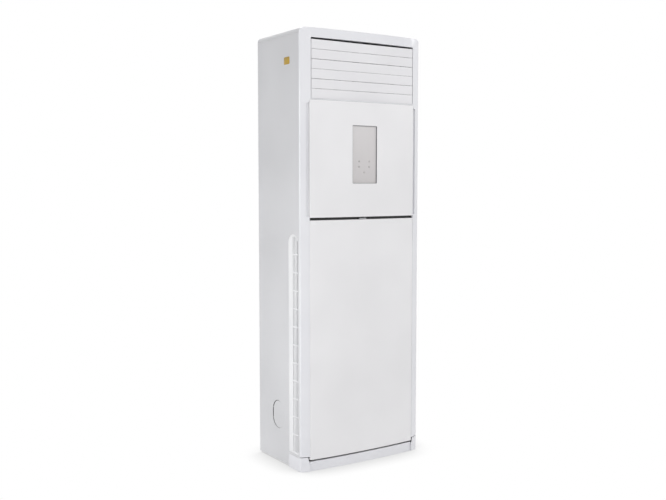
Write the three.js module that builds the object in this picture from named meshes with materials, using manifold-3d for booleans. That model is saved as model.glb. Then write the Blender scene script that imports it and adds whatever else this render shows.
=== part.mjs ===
// Floor standing air conditioner: the indoor cabinet of a split system.
// Millimetres, +Z up, front towards -Y, left side towards -X.
// The origin is the middle of the footprint, on the floor.

import * as THREE from 'three';
import { mergeVertices } from 'three/addons/utils/BufferGeometryUtils.js';
import Module from 'manifold-3d';

const wasm = await Module();
wasm.setup();

// ---------- driving dimensions ----------

// cabinet
const cabinetWidth = 586;
const cabinetHeight = 1750;
const sideDepth = 335; // front corner edges to the back
const facetWidth = 43; // slanted corner columns
const facetStep = 15; // how far the slant brings the front forward
const crownRise = 10; // bulge of the front at mid width
const columnEdgeRadius = 8;
const topCornerRadius = 18;
const topCoverHeight = 20;
const topCoverWall = 2;
const frameReturn = 6; // the front frame wraps round onto the sides
const mouldedWall = 3;
const sheetWall = 1.2;
const fitGap = 0.3; // between parts that touch
const seamGap = 0.6; // round the front panels

// base
const footRadius = 18;
const footHeight = 8;
const footInset = 45;
const panWallHeight = 32;
const panSetback = 10; // pan front wall behind the corner edges
const plinthBlockHeight = 60;
const plinthMiddleHeight = 39;
const plinthRecess = 6;
const plinthFlankDepth = 90;
const plinthFlankHeight = 56;
const sidePanelLift = 6; // metal sides stop short of the floor

// front openings and panels
const outletTopMargin = 37; // from the cabinet's top to the outlet
const outletHeight = 235;
const outletCornerRadius = 4;
const outletRimDepth = 16; // moulded rim behind the panel edge plane
const doorwayMargin = 5.3; // how far the doorway is wider than the outlet, each side
const bandDrop = 474; // lower edge of the dark gap between the front panels, below the outlet
const bandHeight = 11;
const lowerPanelBottom = 47;
const panelRimDepth = 12;
const channelWidth = 13;
const channelDepth = 5;
const channelLift = 16; // channels start above the dark gap's lower edge
const channelTopDrop = 12; // and end below the outlet
const channelSlant = 8;

// display window and keys
const windowHalfWidth = 60;
const windowLift = 145; // above the dark gap's lower edge
const windowHeight = 232;
const windowRecess = 5;
const windowThickness = 3;
const windowCornerRadius = 4;
const keyRadius = 4.2;
const keyProud = 0.6;
const keyTravel = 1;
const keyFlange = 1.4;
const keyFlangeThickness = 1;
const keySpread = 25; // outer keys from the centre line
const keyRows = [89, 67, 45]; // above the window's lower edge
const boardThickness = 1.6;
const boardSetback = 4.2; // board behind the window's back face

// louvre blades
const bladeCount = 6;
const bladeTopClearance = 6;
const bladeBottomClearance = 1;
const bladeSlit = 1.3;
const bladeThickness = 3.5;
const bladeEndClearance = 1.5;
const bladePivotDepth = 10; // pivot behind the blade's face
const pinRadius = 2.4;
const earHalf = 4;
const crankReach = 9;
const crankThickness = 2.5;
const linkThickness = 2.5;
const linkHalf = 3.6;
const linkPinRadius = 1.6;
const linkSideGap = 0.6;
const louvreMotorSize = 26;
const louvreMotorLength = 18;
const bossLength = 3.5;

// upright vanes
const vaneCount = 5;
const vaneEndMargin = 70; // outer vanes from the outlet's ends
const vaneChord = 50;
const vaneThickness = 2;
const vaneSetback = 58; // vane pivots behind the panel edge plane
const vanePinRadius = 2.5;
const vaneLinkReach = 19;
const vaneClearance = 2;
const vaneFootRoom = 9; // room for the link bar under the vanes
const linerDepth = 74;
const swingMotorRadius = 14;
const swingMotorHeight = 22;

// side intake
const intakeStart = 13; // behind the front corner edge
const intakeWidth = 75;
const intakeBottom = 66;
const intakeTop = 950;
const grilleThickness = 3;
const grilleMargin = 4;
const grilleSlotWidth = 6.4;
const grilleSlotPitch = 11;
const grilleSlotColumns = 4;
const grilleRibPitch = 72.5;
const grilleRib = 4;
const filterThickness = 5;
const filterBar = 3;
const filterInset = 2;
const filterColumns = 2;
const filterRows = 7;

// pipe knock-out in the side
const knockoutSetback = 174; // centre behind the front corner edge
const knockoutHeight = 205;
const knockoutWidth = 90;
const knockoutLength = 125;
const knockoutSlit = 2.7;

// blower
const wheelRadius = 160;
const wheelWidth = 105;
const wheelCentreHeight = 330;
const wheelFront = -20;
const wheelBladeCount = 24;
const wheelBladeDepth = 28;
const wheelBladeThickness = 2.4;
const wheelDisc = 2.5;
const wheelRim = 6;
const hubRadius = 18;
const hubLength = 40;
const shaftRadius = 6;
const wheelSideGap = 9;
const scrollGap = 16; // wheel to scroll wall at the tongue
const scrollSideRoom = 43; // from the widest point of the scroll to the cabinet's side
const scrollWall = 2;
const tongueAngle = 50;
const scrollSweep = 230;
const inletRadius = 124;
const bellmouthDepth = 14;
const bellmouthFlare = 12;
const motorRadius = 55;
const motorLength = 52;
const motorBracketRadius = 78;
const motorBracketThickness = 3;
const motorOpening = 44;

// air duct, coil, drain and pipes
const partitionHeight = 620;
const ductPlateSetback = 30; // duct plate behind the panel edge plane
const coilLength = 640;
const coilThickness = 55;
const coilSideRoom = 48; // from the fins' ends to the cabinet's sides
const coilTilt = 22;
const coilLift = 52; // lowest edge above the partition
const coilForward = 8;
const finCount = 20;
const finGroove = 25;
const tubeSheetWall = 1.5;
const bendCount = 4;
const bendRadius = 12;
const bendTube = 4.5;
const drainPanDepth = 105;
const drainPanHeight = 36;
const drainPanWall = 2;
const spigotRadius = 9;
const spigotBore = 6;
const spigotLength = 18;
const gasPipeRadius = 8;
const liquidPipeRadius = 5;
const pipeBend = 26;
const pipeEndHeight = 300;
const flareNutLength = 22;
const flareNutWall = 5;
const pipeHoleClearance = 5;

// electrical box
const boxWidth = 300;
const boxHeight = 104;
const boxDepth = 84;
const boxWall = 1.5;
const boxFrontSetback = 22; // box front behind the panel edge plane
const controlBoardMargin = 14;
const glandRadius = 8; // cable hole in the box's floor
const glandMargin = 30; // from the box's right end
const glandSetback = 40;
const controlBoardLift = 6;
const standoffRadius = 4;
const componentHeight = 16;
const heatSinkMargin = 20; // from the board's left end
const heatSinkWidth = 40;
const heatSinkHeight = 38;
const relayMargin = 80; // from the board's left end
const relayRowWidth = 70;
const relayHeight = 24;
const terminalMargin = 16; // from the board's right end
const terminalWidth = 64;
const terminalHeight = 22;
const capacitorRadius = 9;
const capacitorDrop = 22; // below the board's top edge

// panel catch
const catchWidth = 34;
const catchHeight = 5.5;
const catchDepth = 9;
const catchDrop = 0.9; // catch above the lower panel's top edge
const railHeight = 50;
const railThickness = 4;

// lower panel pivots, in the plinth's cheeks
const pivotLift = 4;
const pivotDepth = 7;
const pivotRadius = 2.5;

// ---------- places worked out from them ----------

const halfWidth = cabinetWidth / 2;
const backY = (sideDepth + facetStep + crownRise) / 2;
const cornerY = backY - sideDepth;
const edgeY = cornerY - facetStep;
const apexY = edgeY - crownRise;
const beyond = 50; // how far a cutter runs past what it cuts

const outletHalfWidth = halfWidth - facetWidth;
const outletTop = cabinetHeight - outletTopMargin;
const outletBottom = outletTop - outletHeight;
const rimBackY = edgeY + outletRimDepth;
const doorwayHalfWidth = outletHalfWidth + doorwayMargin;
const doorwayTop = outletBottom - mouldedWall;
const bandBottom = outletBottom - bandDrop;
const channelBottom = bandBottom + channelLift;
const channelTop = outletBottom - channelTopDrop;
const frameBottom = plinthBlockHeight + fitGap;
const frameBackY = cornerY + frameReturn;
const panelHalfWidth = doorwayHalfWidth - seamGap;
const upperPanelBottom = bandBottom + bandHeight;
const panelRimY = edgeY + panelRimDepth;
const sideInner = halfWidth - sheetWall;
const backInner = backY - sheetWall;
const sideTop = cabinetHeight - topCoverHeight - fitGap;
const panFrontY = cornerY + panSetback;

const windowFrontY = apexY + windowRecess;
const windowBackY = windowFrontY + windowThickness;
const boardY = windowBackY + boardSetback;
const windowBottom = bandBottom + windowLift;
const windowTop = windowBottom + windowHeight;

const bladeZone = outletHeight - bladeTopClearance - bladeBottomClearance;
const bladePitch = bladeZone / bladeCount;
const bladeHeight = bladePitch - bladeSlit;
const bladePivotY = edgeY + bladePivotDepth;
const bladeHalfLength = outletHalfWidth - bladeEndClearance;
const rimOuter = outletHalfWidth + mouldedWall;
const crankStart = rimOuter + 2 * linkSideGap;
const linkStart = crankStart + crankThickness + linkSideGap;

const linerFrontY = rimBackY + fitGap;
const linerBackY = linerFrontY + linerDepth;
const vanePitch = (2 * (outletHalfWidth - vaneEndMargin)) / (vaneCount - 1);
const vanePivotY = edgeY + vaneSetback;
const vaneBottom = outletBottom + vaneClearance + vaneFootRoom;
const vaneTop = outletTop - vaneClearance;

const intakeFrontY = cornerY + intakeStart;
const intakeBackY = intakeFrontY + intakeWidth;
const knockoutY = cornerY + knockoutSetback;

const scrollGrowth = halfWidth - scrollSideRoom - wheelRadius - scrollGap; // along the spiral
const housingFrontY = wheelFront - wheelSideGap;
const housingBackY = wheelFront + wheelWidth + wheelSideGap;
const partitionTop = partitionHeight + sheetWall;
const ductHalf = halfWidth - grilleThickness - filterThickness - 2 * fitGap;
const ductPlateY = edgeY + ductPlateSetback;
const coilHalfWidth = halfWidth - coilSideRoom;

// ---------- solids ----------

function clean(geometry) {
  const bare = geometry.clone();
  bare.deleteAttribute('normal');
  bare.deleteAttribute('uv');
  return mergeVertices(bare, 1e-4);
}

function toSolid(geometry) {
  const merged = clean(geometry);
  const vertProperties = new Float32Array(merged.attributes.position.array);
  const triVerts = new Uint32Array(merged.index.array);
  return new wasm.Manifold(new wasm.Mesh({ numProp: 3, vertProperties, triVerts }));
}

function toGeometry(solid) {
  const result = solid.getMesh();
  const geometry = new THREE.BufferGeometry();
  geometry.setAttribute('position', new THREE.BufferAttribute(result.vertProperties, 3));
  geometry.setIndex(new THREE.BufferAttribute(result.triVerts, 1));
  return geometry;
}

function join(...pieces) {
  return toGeometry(pieces.map(toSolid).reduce((sum, next) => sum.add(next)));
}

function cut(base, ...tools) {
  return toGeometry(tools.map(toSolid).reduce((left, tool) => left.subtract(tool), toSolid(base)));
}

function common(a, b) {
  return toGeometry(toSolid(a).intersect(toSolid(b)));
}

function box(x0, x1, y0, y1, z0, z1) {
  const geometry = new THREE.BoxGeometry(x1 - x0, y1 - y0, z1 - z0);
  return geometry.translate((x0 + x1) / 2, (y0 + y1) / 2, (z0 + z1) / 2);
}

function extrude(shape, depth, segments = 2) {
  return new THREE.ExtrudeGeometry(shape, { depth, bevelEnabled: false, curveSegments: segments });
}

// a shape drawn in x and y, standing from z0 to z1
function alongZ(shape, z0, z1, segments) {
  return extrude(shape, z1 - z0, segments).translate(0, 0, z0);
}

// a shape drawn in x and z, running from y0 to y1
function alongY(shape, y0, y1, segments) {
  return extrude(shape, y1 - y0, segments).rotateX(Math.PI / 2).translate(0, y1, 0);
}

// a shape drawn in y and z, running from x0 to x1
function alongX(shape, x0, x1, segments) {
  const turn = new THREE.Matrix4().makeBasis(
    new THREE.Vector3(0, 1, 0),
    new THREE.Vector3(0, 0, 1),
    new THREE.Vector3(1, 0, 0),
  );
  return extrude(shape, x1 - x0, segments).applyMatrix4(turn).translate(x0, 0, 0);
}

function rodX(radius, x0, x1, y, z, sides = 8) {
  const rod = new THREE.CylinderGeometry(radius, radius, x1 - x0, sides);
  return rod.rotateZ(Math.PI / 2).translate((x0 + x1) / 2, y, z);
}

function rodY(radius, y0, y1, x, z, sides = 18) {
  const rod = new THREE.CylinderGeometry(radius, radius, y1 - y0, sides);
  return rod.translate(x, (y0 + y1) / 2, z);
}

function rodZ(radius, z0, z1, x, y, sides = 8) {
  const rod = new THREE.CylinderGeometry(radius, radius, z1 - z0, sides);
  return rod.rotateX(Math.PI / 2).translate(x, y, (z0 + z1) / 2);
}

function polygon(points) {
  return new THREE.Shape(points.map(([u, v]) => new THREE.Vector2(u, v)));
}

function rectangle(u0, u1, v0, v1) {
  return polygon([[u0, v0], [u1, v0], [u1, v1], [u0, v1]]);
}

function roundedRectangle(u0, u1, v0, v1, radius) {
  const shape = new THREE.Shape();
  shape.moveTo(u0 + radius, v0);
  shape.lineTo(u1 - radius, v0);
  shape.absarc(u1 - radius, v0 + radius, radius, -Math.PI / 2, 0);
  shape.lineTo(u1, v1 - radius);
  shape.absarc(u1 - radius, v1 - radius, radius, 0, Math.PI / 2);
  shape.lineTo(u0 + radius, v1);
  shape.absarc(u0 + radius, v1 - radius, radius, Math.PI / 2, Math.PI);
  shape.lineTo(u0, v0 + radius);
  shape.absarc(u0 + radius, v0 + radius, radius, Math.PI, 1.5 * Math.PI);
  return shape;
}

// an upright slot with round ends
function obround(u, v, width, length) {
  return roundedRectangle(u - width / 2, u + width / 2, v - length / 2, v + length / 2, width / 2 - 0.01);
}

// ---------- the front's plan outline ----------

// Seen from above: straight sides, rounded corner edges, slanted columns and a shallow crown.
function frontOutline(inset) {
  const facetAngle = Math.atan2(facetStep, facetWidth);
  const radius = Math.max(columnEdgeRadius - inset, 1);
  const tangent = radius * Math.tan((Math.PI / 2 - facetAngle) / 2);
  const half = halfWidth - inset;
  const corner = cornerY + inset;
  const edge = edgeY + inset;
  const along = tangent * Math.cos(facetAngle);
  const ahead = tangent * Math.sin(facetAngle);
  const shape = new THREE.Shape();
  shape.moveTo(-half, cornerY + beyond);
  shape.lineTo(-half, corner + tangent);
  shape.quadraticCurveTo(-half, corner, -half + along, corner - ahead);
  shape.lineTo(facetWidth - halfWidth, edge);
  shape.quadraticCurveTo(0, edge - 2 * crownRise, halfWidth - facetWidth, edge);
  shape.lineTo(half - along, corner - ahead);
  shape.quadraticCurveTo(half, corner, half, corner + tangent);
  shape.lineTo(half, cornerY + beyond);
  return shape;
}

function frontBlock(inset, z0, z1) {
  return alongZ(frontOutline(inset), z0, z1, 6);
}

// the part of the front between two depths, inside an outline drawn on the front
function frontSkin(inset, depth, outline, backLimit) {
  const layer = cut(
    frontBlock(inset, 0, cabinetHeight),
    frontBlock(inset + depth, -beyond, cabinetHeight + beyond),
  );
  return common(layer, alongY(outline, apexY - beyond, backLimit));
}

// the front's solid inside an outline, from its face back to a plane
function frontSolid(outline, backLimit) {
  return common(frontBlock(0, 0, cabinetHeight), alongY(outline, apexY - beyond, backLimit));
}

// front view of the cabinet's rounded top
function topOutline(inset, bottom) {
  const half = halfWidth - inset;
  const top = cabinetHeight - inset;
  const radius = topCornerRadius - inset;
  const shape = new THREE.Shape();
  shape.moveTo(-half, bottom);
  shape.lineTo(half, bottom);
  shape.lineTo(half, top - radius);
  shape.absarc(half - radius, top - radius, radius, 0, Math.PI / 2);
  shape.lineTo(radius - half, top);
  shape.absarc(radius - half, top - radius, radius, Math.PI / 2, Math.PI);
  return shape;
}

function ring(outer, inner) {
  outer.holes.push(inner);
  return outer;
}

// ---------- front frame and its panels ----------

function outletOutline(grow) {
  return roundedRectangle(
    -outletHalfWidth - grow,
    outletHalfWidth + grow,
    outletBottom - grow,
    outletTop + grow,
    outletCornerRadius,
  );
}

function channelOutline(side, grow) {
  const near = side * (doorwayHalfWidth - seamGap);
  const far = side * (doorwayHalfWidth + channelWidth + grow);
  const slantTop = channelTop + grow;
  return polygon([
    [near, channelBottom - grow],
    [far, channelBottom - grow],
    [far, slantTop - channelSlant],
    [near, slantTop],
  ]);
}

function bladePivotZ(index) {
  return outletBottom + bladeBottomClearance + bladePitch * (index + 0.5);
}

function frontFrame() {
  const outer = common(
    frontBlock(0, frameBottom, cabinetHeight),
    alongY(topOutline(0, frameBottom), apexY - beyond, frameBackY),
  );
  const hollow = common(
    frontBlock(mouldedWall, 0, cabinetHeight),
    alongY(topOutline(mouldedWall, 0), apexY - beyond, cornerY + beyond),
  );
  let frame = cut(outer, hollow);
  const overlap = 0.2;
  for (const side of [-1, 1]) {
    const backing = frontSkin(
      mouldedWall - overlap,
      channelDepth + overlap,
      channelOutline(side, mouldedWall),
      frameBackY,
    );
    const flangeOutline = rectangle(
      Math.min(side * doorwayHalfWidth, side * (doorwayHalfWidth + mouldedWall)),
      Math.max(side * doorwayHalfWidth, side * (doorwayHalfWidth + mouldedWall)),
      frameBottom,
      doorwayTop,
    );
    frame = join(frame, backing, frontSolid(flangeOutline, frameBackY));
  }
  frame = join(frame, frontSolid(outletOutline(mouldedWall), rimBackY));
  const doorway = box(-doorwayHalfWidth, doorwayHalfWidth, apexY - beyond, backY, 0, doorwayTop);
  const outlet = alongY(outletOutline(0), apexY - beyond, backY);
  frame = cut(frame, doorway, outlet);
  for (const side of [-1, 1]) {
    frame = cut(frame, frontSkin(-1, channelDepth + 1, channelOutline(side, 0), frameBackY));
  }
  const pinHoles = [];
  for (let index = 0; index < bladeCount; index += 1) {
    const reach = rimOuter + 1;
    pinHoles.push(rodX(pinRadius + fitGap, -reach, reach, bladePivotY, bladePivotZ(index)));
  }
  return cut(frame, ...pinHoles);
}

function upperDisplayPanel() {
  const bottom = upperPanelBottom;
  const top = doorwayTop - seamGap;
  const face = rectangle(-panelHalfWidth, panelHalfWidth, bottom, top);
  const rim = ring(
    rectangle(-panelHalfWidth, panelHalfWidth, bottom, top),
    rectangle(
      mouldedWall - panelHalfWidth,
      panelHalfWidth - mouldedWall,
      bottom + mouldedWall,
      top - mouldedWall,
    ),
  );
  const sleeve = roundedRectangle(
    -windowHalfWidth - mouldedWall,
    windowHalfWidth + mouldedWall,
    windowBottom - mouldedWall,
    windowTop + mouldedWall,
    windowCornerRadius,
  );
  const panel = join(
    frontSkin(0, mouldedWall, face, frameBackY),
    frontSolid(rim, panelRimY),
    frontSolid(sleeve, windowBackY),
  );
  const opening = roundedRectangle(
    -windowHalfWidth,
    windowHalfWidth,
    windowBottom,
    windowTop,
    windowCornerRadius,
  );
  return cut(panel, alongY(opening, apexY - beyond, backY));
}

function keyPlaces() {
  const [high, middle, low] = keyRows.map((row) => windowBottom + row);
  return [
    [-keySpread, high],
    [keySpread, high],
    [-keySpread, middle],
    [keySpread, middle],
    [0, low],
  ];
}

function displayWindow() {
  const lens = alongY(
    roundedRectangle(
      fitGap - windowHalfWidth,
      windowHalfWidth - fitGap,
      windowBottom + fitGap,
      windowTop - fitGap,
      windowCornerRadius,
    ),
    windowFrontY,
    windowBackY,
  );
  const holes = keyPlaces().map(([x, z]) =>
    rodY(keyRadius + fitGap, windowFrontY - 1, windowBackY + 1, x, z, 10));
  return cut(lens, ...holes);
}

// drawn about its own centre, pressed towards +y
function displayKey() {
  const stemBack = windowThickness + fitGap + keyFlangeThickness;
  const stem = rodY(keyRadius, -keyProud, stemBack, 0, 0, 10);
  const flange = rodY(keyRadius + keyFlange, windowThickness + fitGap, stemBack, 0, 0, 10);
  return join(stem, flange);
}

function displayBoard() {
  const board = box(
    -windowHalfWidth,
    windowHalfWidth,
    boardY,
    boardY + boardThickness,
    windowBottom,
    windowTop,
  );
  const keyBackY = windowBackY + fitGap + keyFlangeThickness;
  const switchHalf = 3;
  const switches = keyPlaces().map(([x, z]) => box(
    x - switchHalf,
    x + switchHalf,
    keyBackY + keyTravel + fitGap,
    boardY + boardThickness / 2,
    z - switchHalf,
    z + switchHalf,
  ));
  const postRadius = 3;
  const posts = [windowBottom + 10, windowTop - 10].map((z) =>
    rodY(postRadius, windowBackY + fitGap, boardY + boardThickness / 2, 0, z, 8));
  return join(board, ...switches, ...posts);
}

function lowerFrontPanel() {
  const face = rectangle(-panelHalfWidth, panelHalfWidth, lowerPanelBottom, bandBottom);
  const rim = ring(
    rectangle(-panelHalfWidth, panelHalfWidth, lowerPanelBottom, bandBottom),
    rectangle(
      mouldedWall - panelHalfWidth,
      panelHalfWidth - mouldedWall,
      lowerPanelBottom + mouldedWall,
      bandBottom - mouldedWall,
    ),
  );
  const pins = [-1, 1].map((side) => {
    const ends = [side * (panelHalfWidth - mouldedWall), side * (doorwayHalfWidth + mouldedWall / 2)];
    const [x0, x1] = ends.sort((a, b) => a - b);
    return rodX(pivotRadius, x0, x1, edgeY + pivotDepth, lowerPanelBottom + pivotLift);
  });
  return join(frontSkin(0, mouldedWall, face, frameBackY), frontSolid(rim, panelRimY), ...pins);
}

function midRail() {
  const half = doorwayHalfWidth - fitGap;
  const middle = bandBottom + bandHeight / 2;
  const front = panelRimY + fitGap;
  return box(-half, half, front, front + railThickness, middle - railHeight / 2, middle + railHeight / 2);
}

function panelCatch() {
  const bottom = bandBottom + catchDrop;
  const back = panelRimY;
  const tongue = alongX(
    polygon([
      [back - catchDepth, bottom + 1],
      [back - catchDepth + 1, bottom],
      [back, bottom],
      [back, bottom + catchHeight],
      [back - catchDepth + 2.5, bottom + catchHeight],
      [back - catchDepth, bottom + catchHeight - 2.5],
    ]),
    -catchWidth / 2,
    catchWidth / 2,
  );
  return tongue;
}

// ---------- outlet: blades, link, liner, vanes ----------

// drawn about its pivot
function louvreBlade() {
  const front = -bladePivotDepth;
  const plate = alongX(
    roundedRectangle(front, front + bladeThickness, -bladeHeight / 2, bladeHeight / 2, bladeThickness / 2.5),
    -bladeHalfLength,
    bladeHalfLength,
    2,
  );
  const earThickness = 3;
  const pieces = [plate];
  for (const side of [-1, 1]) {
    const inner = side * (bladeHalfLength - earThickness);
    const outer = side * bladeHalfLength;
    pieces.push(box(
      Math.min(inner, outer),
      Math.max(inner, outer),
      front + bladeThickness / 2,
      earHalf,
      -earHalf,
      earHalf,
    ));
  }
  const inset = bladeHalfLength - earThickness / 2;
  pieces.push(rodX(pinRadius, -rimOuter - 1, -inset, 0, 0));
  pieces.push(rodX(pinRadius, inset, crankStart + crankThickness, 0, 0));
  pieces.push(alongX(
    roundedRectangle(-pinRadius - 1, crankReach + linkPinRadius + 1, -pinRadius - 1, pinRadius + 1, 3),
    crankStart,
    crankStart + crankThickness,
    1,
  ));
  const pinEnd = linkStart + linkThickness + linkSideGap;
  pieces.push(rodX(linkPinRadius, crankStart + crankThickness / 2, pinEnd, crankReach, 0, 8));
  return join(...pieces);
}

// drawn about the lowest blade's crank pin
function bladeLink() {
  const length = bladePitch * (bladeCount - 1);
  const bar = box(linkStart, linkStart + linkThickness, -linkHalf, linkHalf, -linkHalf, length + linkHalf);
  const holes = [];
  for (let index = 0; index < bladeCount; index += 1) {
    const ends = [linkStart - 1, linkStart + linkThickness + 1];
    holes.push(rodX(linkPinRadius + fitGap, ends[0], ends[1], 0, bladePitch * index, 8));
  }
  return cut(bar, ...holes);
}

function louvreMotor() {
  const z = bladePivotZ(Math.floor(bladeCount / 2));
  const face = -rimOuter - fitGap;
  const front = bladePivotY + pinRadius / 2;
  const half = louvreMotorSize / 2;
  const body = alongX(
    roundedRectangle(front, front + louvreMotorSize, z - half, z + half, half / 2),
    face - louvreMotorLength,
    face,
  );
  const boss = rodX(pinRadius + mouldedWall / 2, face - bossLength, face, bladePivotY, z, 12);
  const socket = rodX(pinRadius + fitGap, face - bossLength / 2, face + 1, bladePivotY, z);
  return cut(join(body, boss), socket);
}

function vaneX(index) {
  return (index - (vaneCount - 1) / 2) * vanePitch;
}

function outletLiner() {
  const section = ring(outletOutline(mouldedWall), outletOutline(0));
  const tube = alongY(section, linerFrontY, linerBackY, 4);
  const holes = [];
  for (let index = 0; index < vaneCount; index += 1) {
    const x = vaneX(index);
    const radius = vanePinRadius + fitGap;
    holes.push(rodZ(radius, outletBottom - mouldedWall - 1, outletBottom + 1, x, vanePivotY));
    holes.push(rodZ(radius, outletTop - 1, outletTop + mouldedWall + 1, x, vanePivotY));
  }
  return cut(tube, ...holes);
}

// drawn about its upright pivot
function uprightVane() {
  const section = roundedRectangle(
    -vaneThickness / 2,
    vaneThickness / 2,
    -vaneChord / 2,
    vaneChord / 2,
    vaneThickness / 2.5,
  );
  const plate = alongZ(section, vaneBottom, vaneTop, 2);
  const core = rodZ(vanePinRadius, outletBottom - mouldedWall, outletTop + mouldedWall, 0, 0);
  const pin = rodZ(linkPinRadius, outletBottom + vaneClearance, vaneBottom + 4, 0, vaneLinkReach, 8);
  const boss = rodZ(linkPinRadius + 1, vaneBottom, vaneBottom + 8, 0, vaneLinkReach, 8);
  return join(plate, core, pin, boss);
}

// drawn about the first vane's link pin
function vaneLink() {
  const length = vanePitch * (vaneCount - 1);
  const top = vaneBottom - 2 * linkSideGap;
  const bar = box(-linkHalf, length + linkHalf, -linkHalf, linkHalf, top - linkThickness, top);
  const holes = [];
  for (let index = 0; index < vaneCount; index += 1) {
    holes.push(rodZ(linkPinRadius + fitGap, top - linkThickness - 1, top + 1, vanePitch * index, 0, 8));
  }
  return cut(bar, ...holes);
}

function swingMotor() {
  const top = outletBottom - mouldedWall - fitGap;
  return rodZ(swingMotorRadius, top - swingMotorHeight, top, vaneX(0), vanePivotY, 16);
}

// ---------- casing ----------

function sidePanel(side) {
  const front = frameBackY + fitGap;
  const flankBack = cornerY + plinthFlankDepth + fitGap;
  const flankTop = plinthFlankHeight + fitGap;
  const outline = polygon([
    [flankBack, sidePanelLift],
    [backY, sidePanelLift],
    [backY, sideTop],
    [front, sideTop],
    [front, flankTop],
    [flankBack, flankTop],
  ]);
  outline.holes.push(intakeOutline(0));
  if (side < 0) {
    const slit = fitGap + knockoutSlit;
    outline.holes.push(obround(
      knockoutY + (knockoutSlit - fitGap) / 2,
      knockoutHeight,
      knockoutWidth + slit,
      knockoutLength + slit,
    ));
  }
  const [x0, x1] = side < 0 ? [-halfWidth, -sideInner] : [sideInner, halfWidth];
  return alongX(outline, x0, x1, 6);
}

function intakeOutline(inset) {
  const u0 = intakeFrontY + inset;
  const u1 = intakeBackY - inset;
  const radius = (u1 - u0) / 2 - 0.01;
  const top = intakeTop - inset;
  const shape = new THREE.Shape();
  shape.moveTo(u0, intakeBottom + inset);
  shape.lineTo(u1, intakeBottom + inset);
  shape.lineTo(u1, top - radius);
  shape.absarc(u1 - radius, top - radius, radius, 0, Math.PI / 2);
  shape.lineTo(u0 + radius, top);
  shape.absarc(u0 + radius, top - radius, radius, Math.PI / 2, Math.PI);
  return shape;
}

function knockoutPlate() {
  const outline = obround(knockoutY, knockoutHeight, knockoutWidth - fitGap, knockoutLength - fitGap);
  return alongX(outline, -halfWidth, -sideInner, 6);
}

function backPanel() {
  const half = sideInner - fitGap;
  return box(-half, half, backInner, backY, sidePanelLift, sideTop);
}

function topCover() {
  const bottom = cabinetHeight - topCoverHeight;
  const front = frameBackY + fitGap;
  const outer = alongY(topOutline(0, bottom), front, backY, 6);
  const inner = alongY(topOutline(topCoverWall, bottom - 1), front - 1, backY - topCoverWall, 6);
  return cut(outer, inner);
}

function basePan() {
  const half = sideInner - fitGap;
  const back = backInner - fitGap;
  const bottom = footHeight + fitGap;
  const wall = sheetWall;
  const outer = box(-half, half, panFrontY, back, bottom, bottom + panWallHeight);
  const inner = box(
    wall - half,
    half - wall,
    panFrontY + wall,
    back - wall,
    bottom + wall,
    bottom + panWallHeight + 1,
  );
  return cut(outer, inner);
}

function foot() {
  return rodZ(footRadius, 0, footHeight, 0, 0, 14);
}

function plinth() {
  const blockInner = doorwayHalfWidth;
  const backLimit = panFrontY - fitGap;
  const pieces = [];
  for (const side of [-1, 1]) {
    const near = side * blockInner;
    const far = side * halfWidth;
    const low = Math.min(near, far);
    const high = Math.max(near, far);
    const block = rectangle(low, high, 0, plinthBlockHeight);
    pieces.push(frontSkin(0, mouldedWall, block, frameBackY));
    const lid = rectangle(low, high, plinthBlockHeight - mouldedWall, plinthBlockHeight);
    pieces.push(frontSolid(lid, frameBackY));
    const cheek = rectangle(
      Math.min(near, near + side * mouldedWall),
      Math.max(near, near + side * mouldedWall),
      0,
      plinthBlockHeight,
    );
    pieces.push(frontSolid(cheek, frameBackY));
    const flankX = [side * sideInner, side * halfWidth].sort((a, b) => a - b);
    pieces.push(box(
      flankX[0],
      flankX[1],
      frameBackY - frameReturn / 2,
      cornerY + plinthFlankDepth,
      0,
      plinthFlankHeight,
    ));
  }
  const overlap = blockInner + mouldedWall / 2;
  const middle = rectangle(-overlap, overlap, 0, plinthMiddleHeight);
  pieces.push(frontSkin(plinthRecess, mouldedWall, middle, frameBackY));
  const shelfOutline = rectangle(
    -overlap,
    overlap,
    plinthMiddleHeight - mouldedWall,
    plinthMiddleHeight,
  );
  const shelf = common(
    frontBlock(plinthRecess, 0, cabinetHeight),
    alongY(shelfOutline, apexY - beyond, backLimit),
  );
  pieces.push(shelf);
  const reach = doorwayHalfWidth + mouldedWall + 1;
  const pivots = rodX(
    pivotRadius + fitGap,
    -reach,
    reach,
    edgeY + pivotDepth,
    lowerPanelBottom + pivotLift,
  );
  return cut(join(...pieces), pivots);
}

// ---------- side intake ----------

function intakeGrille(side) {
  const slotStart = intakeFrontY + grilleMargin;
  const slotHeight = grilleRibPitch - grilleRib;
  const usable = intakeTop - intakeWidth / 2 - intakeBottom - grilleMargin;
  const rows = Math.floor(usable / grilleRibPitch);
  const [x0, x1] = side < 0
    ? [-halfWidth, grilleThickness - halfWidth]
    : [halfWidth - grilleThickness, halfWidth];
  const slots = [];
  for (let row = 0; row < rows; row += 1) {
    const z0 = intakeBottom + 2 * grilleMargin + row * grilleRibPitch;
    for (let column = 0; column < grilleSlotColumns; column += 1) {
      const y0 = slotStart + column * grilleSlotPitch;
      slots.push(box(x0 - 1, x1 + 1, y0, y0 + grilleSlotWidth, z0, z0 + slotHeight));
    }
  }
  return cut(alongX(intakeOutline(fitGap), x0, x1, 6), ...slots);
}

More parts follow.
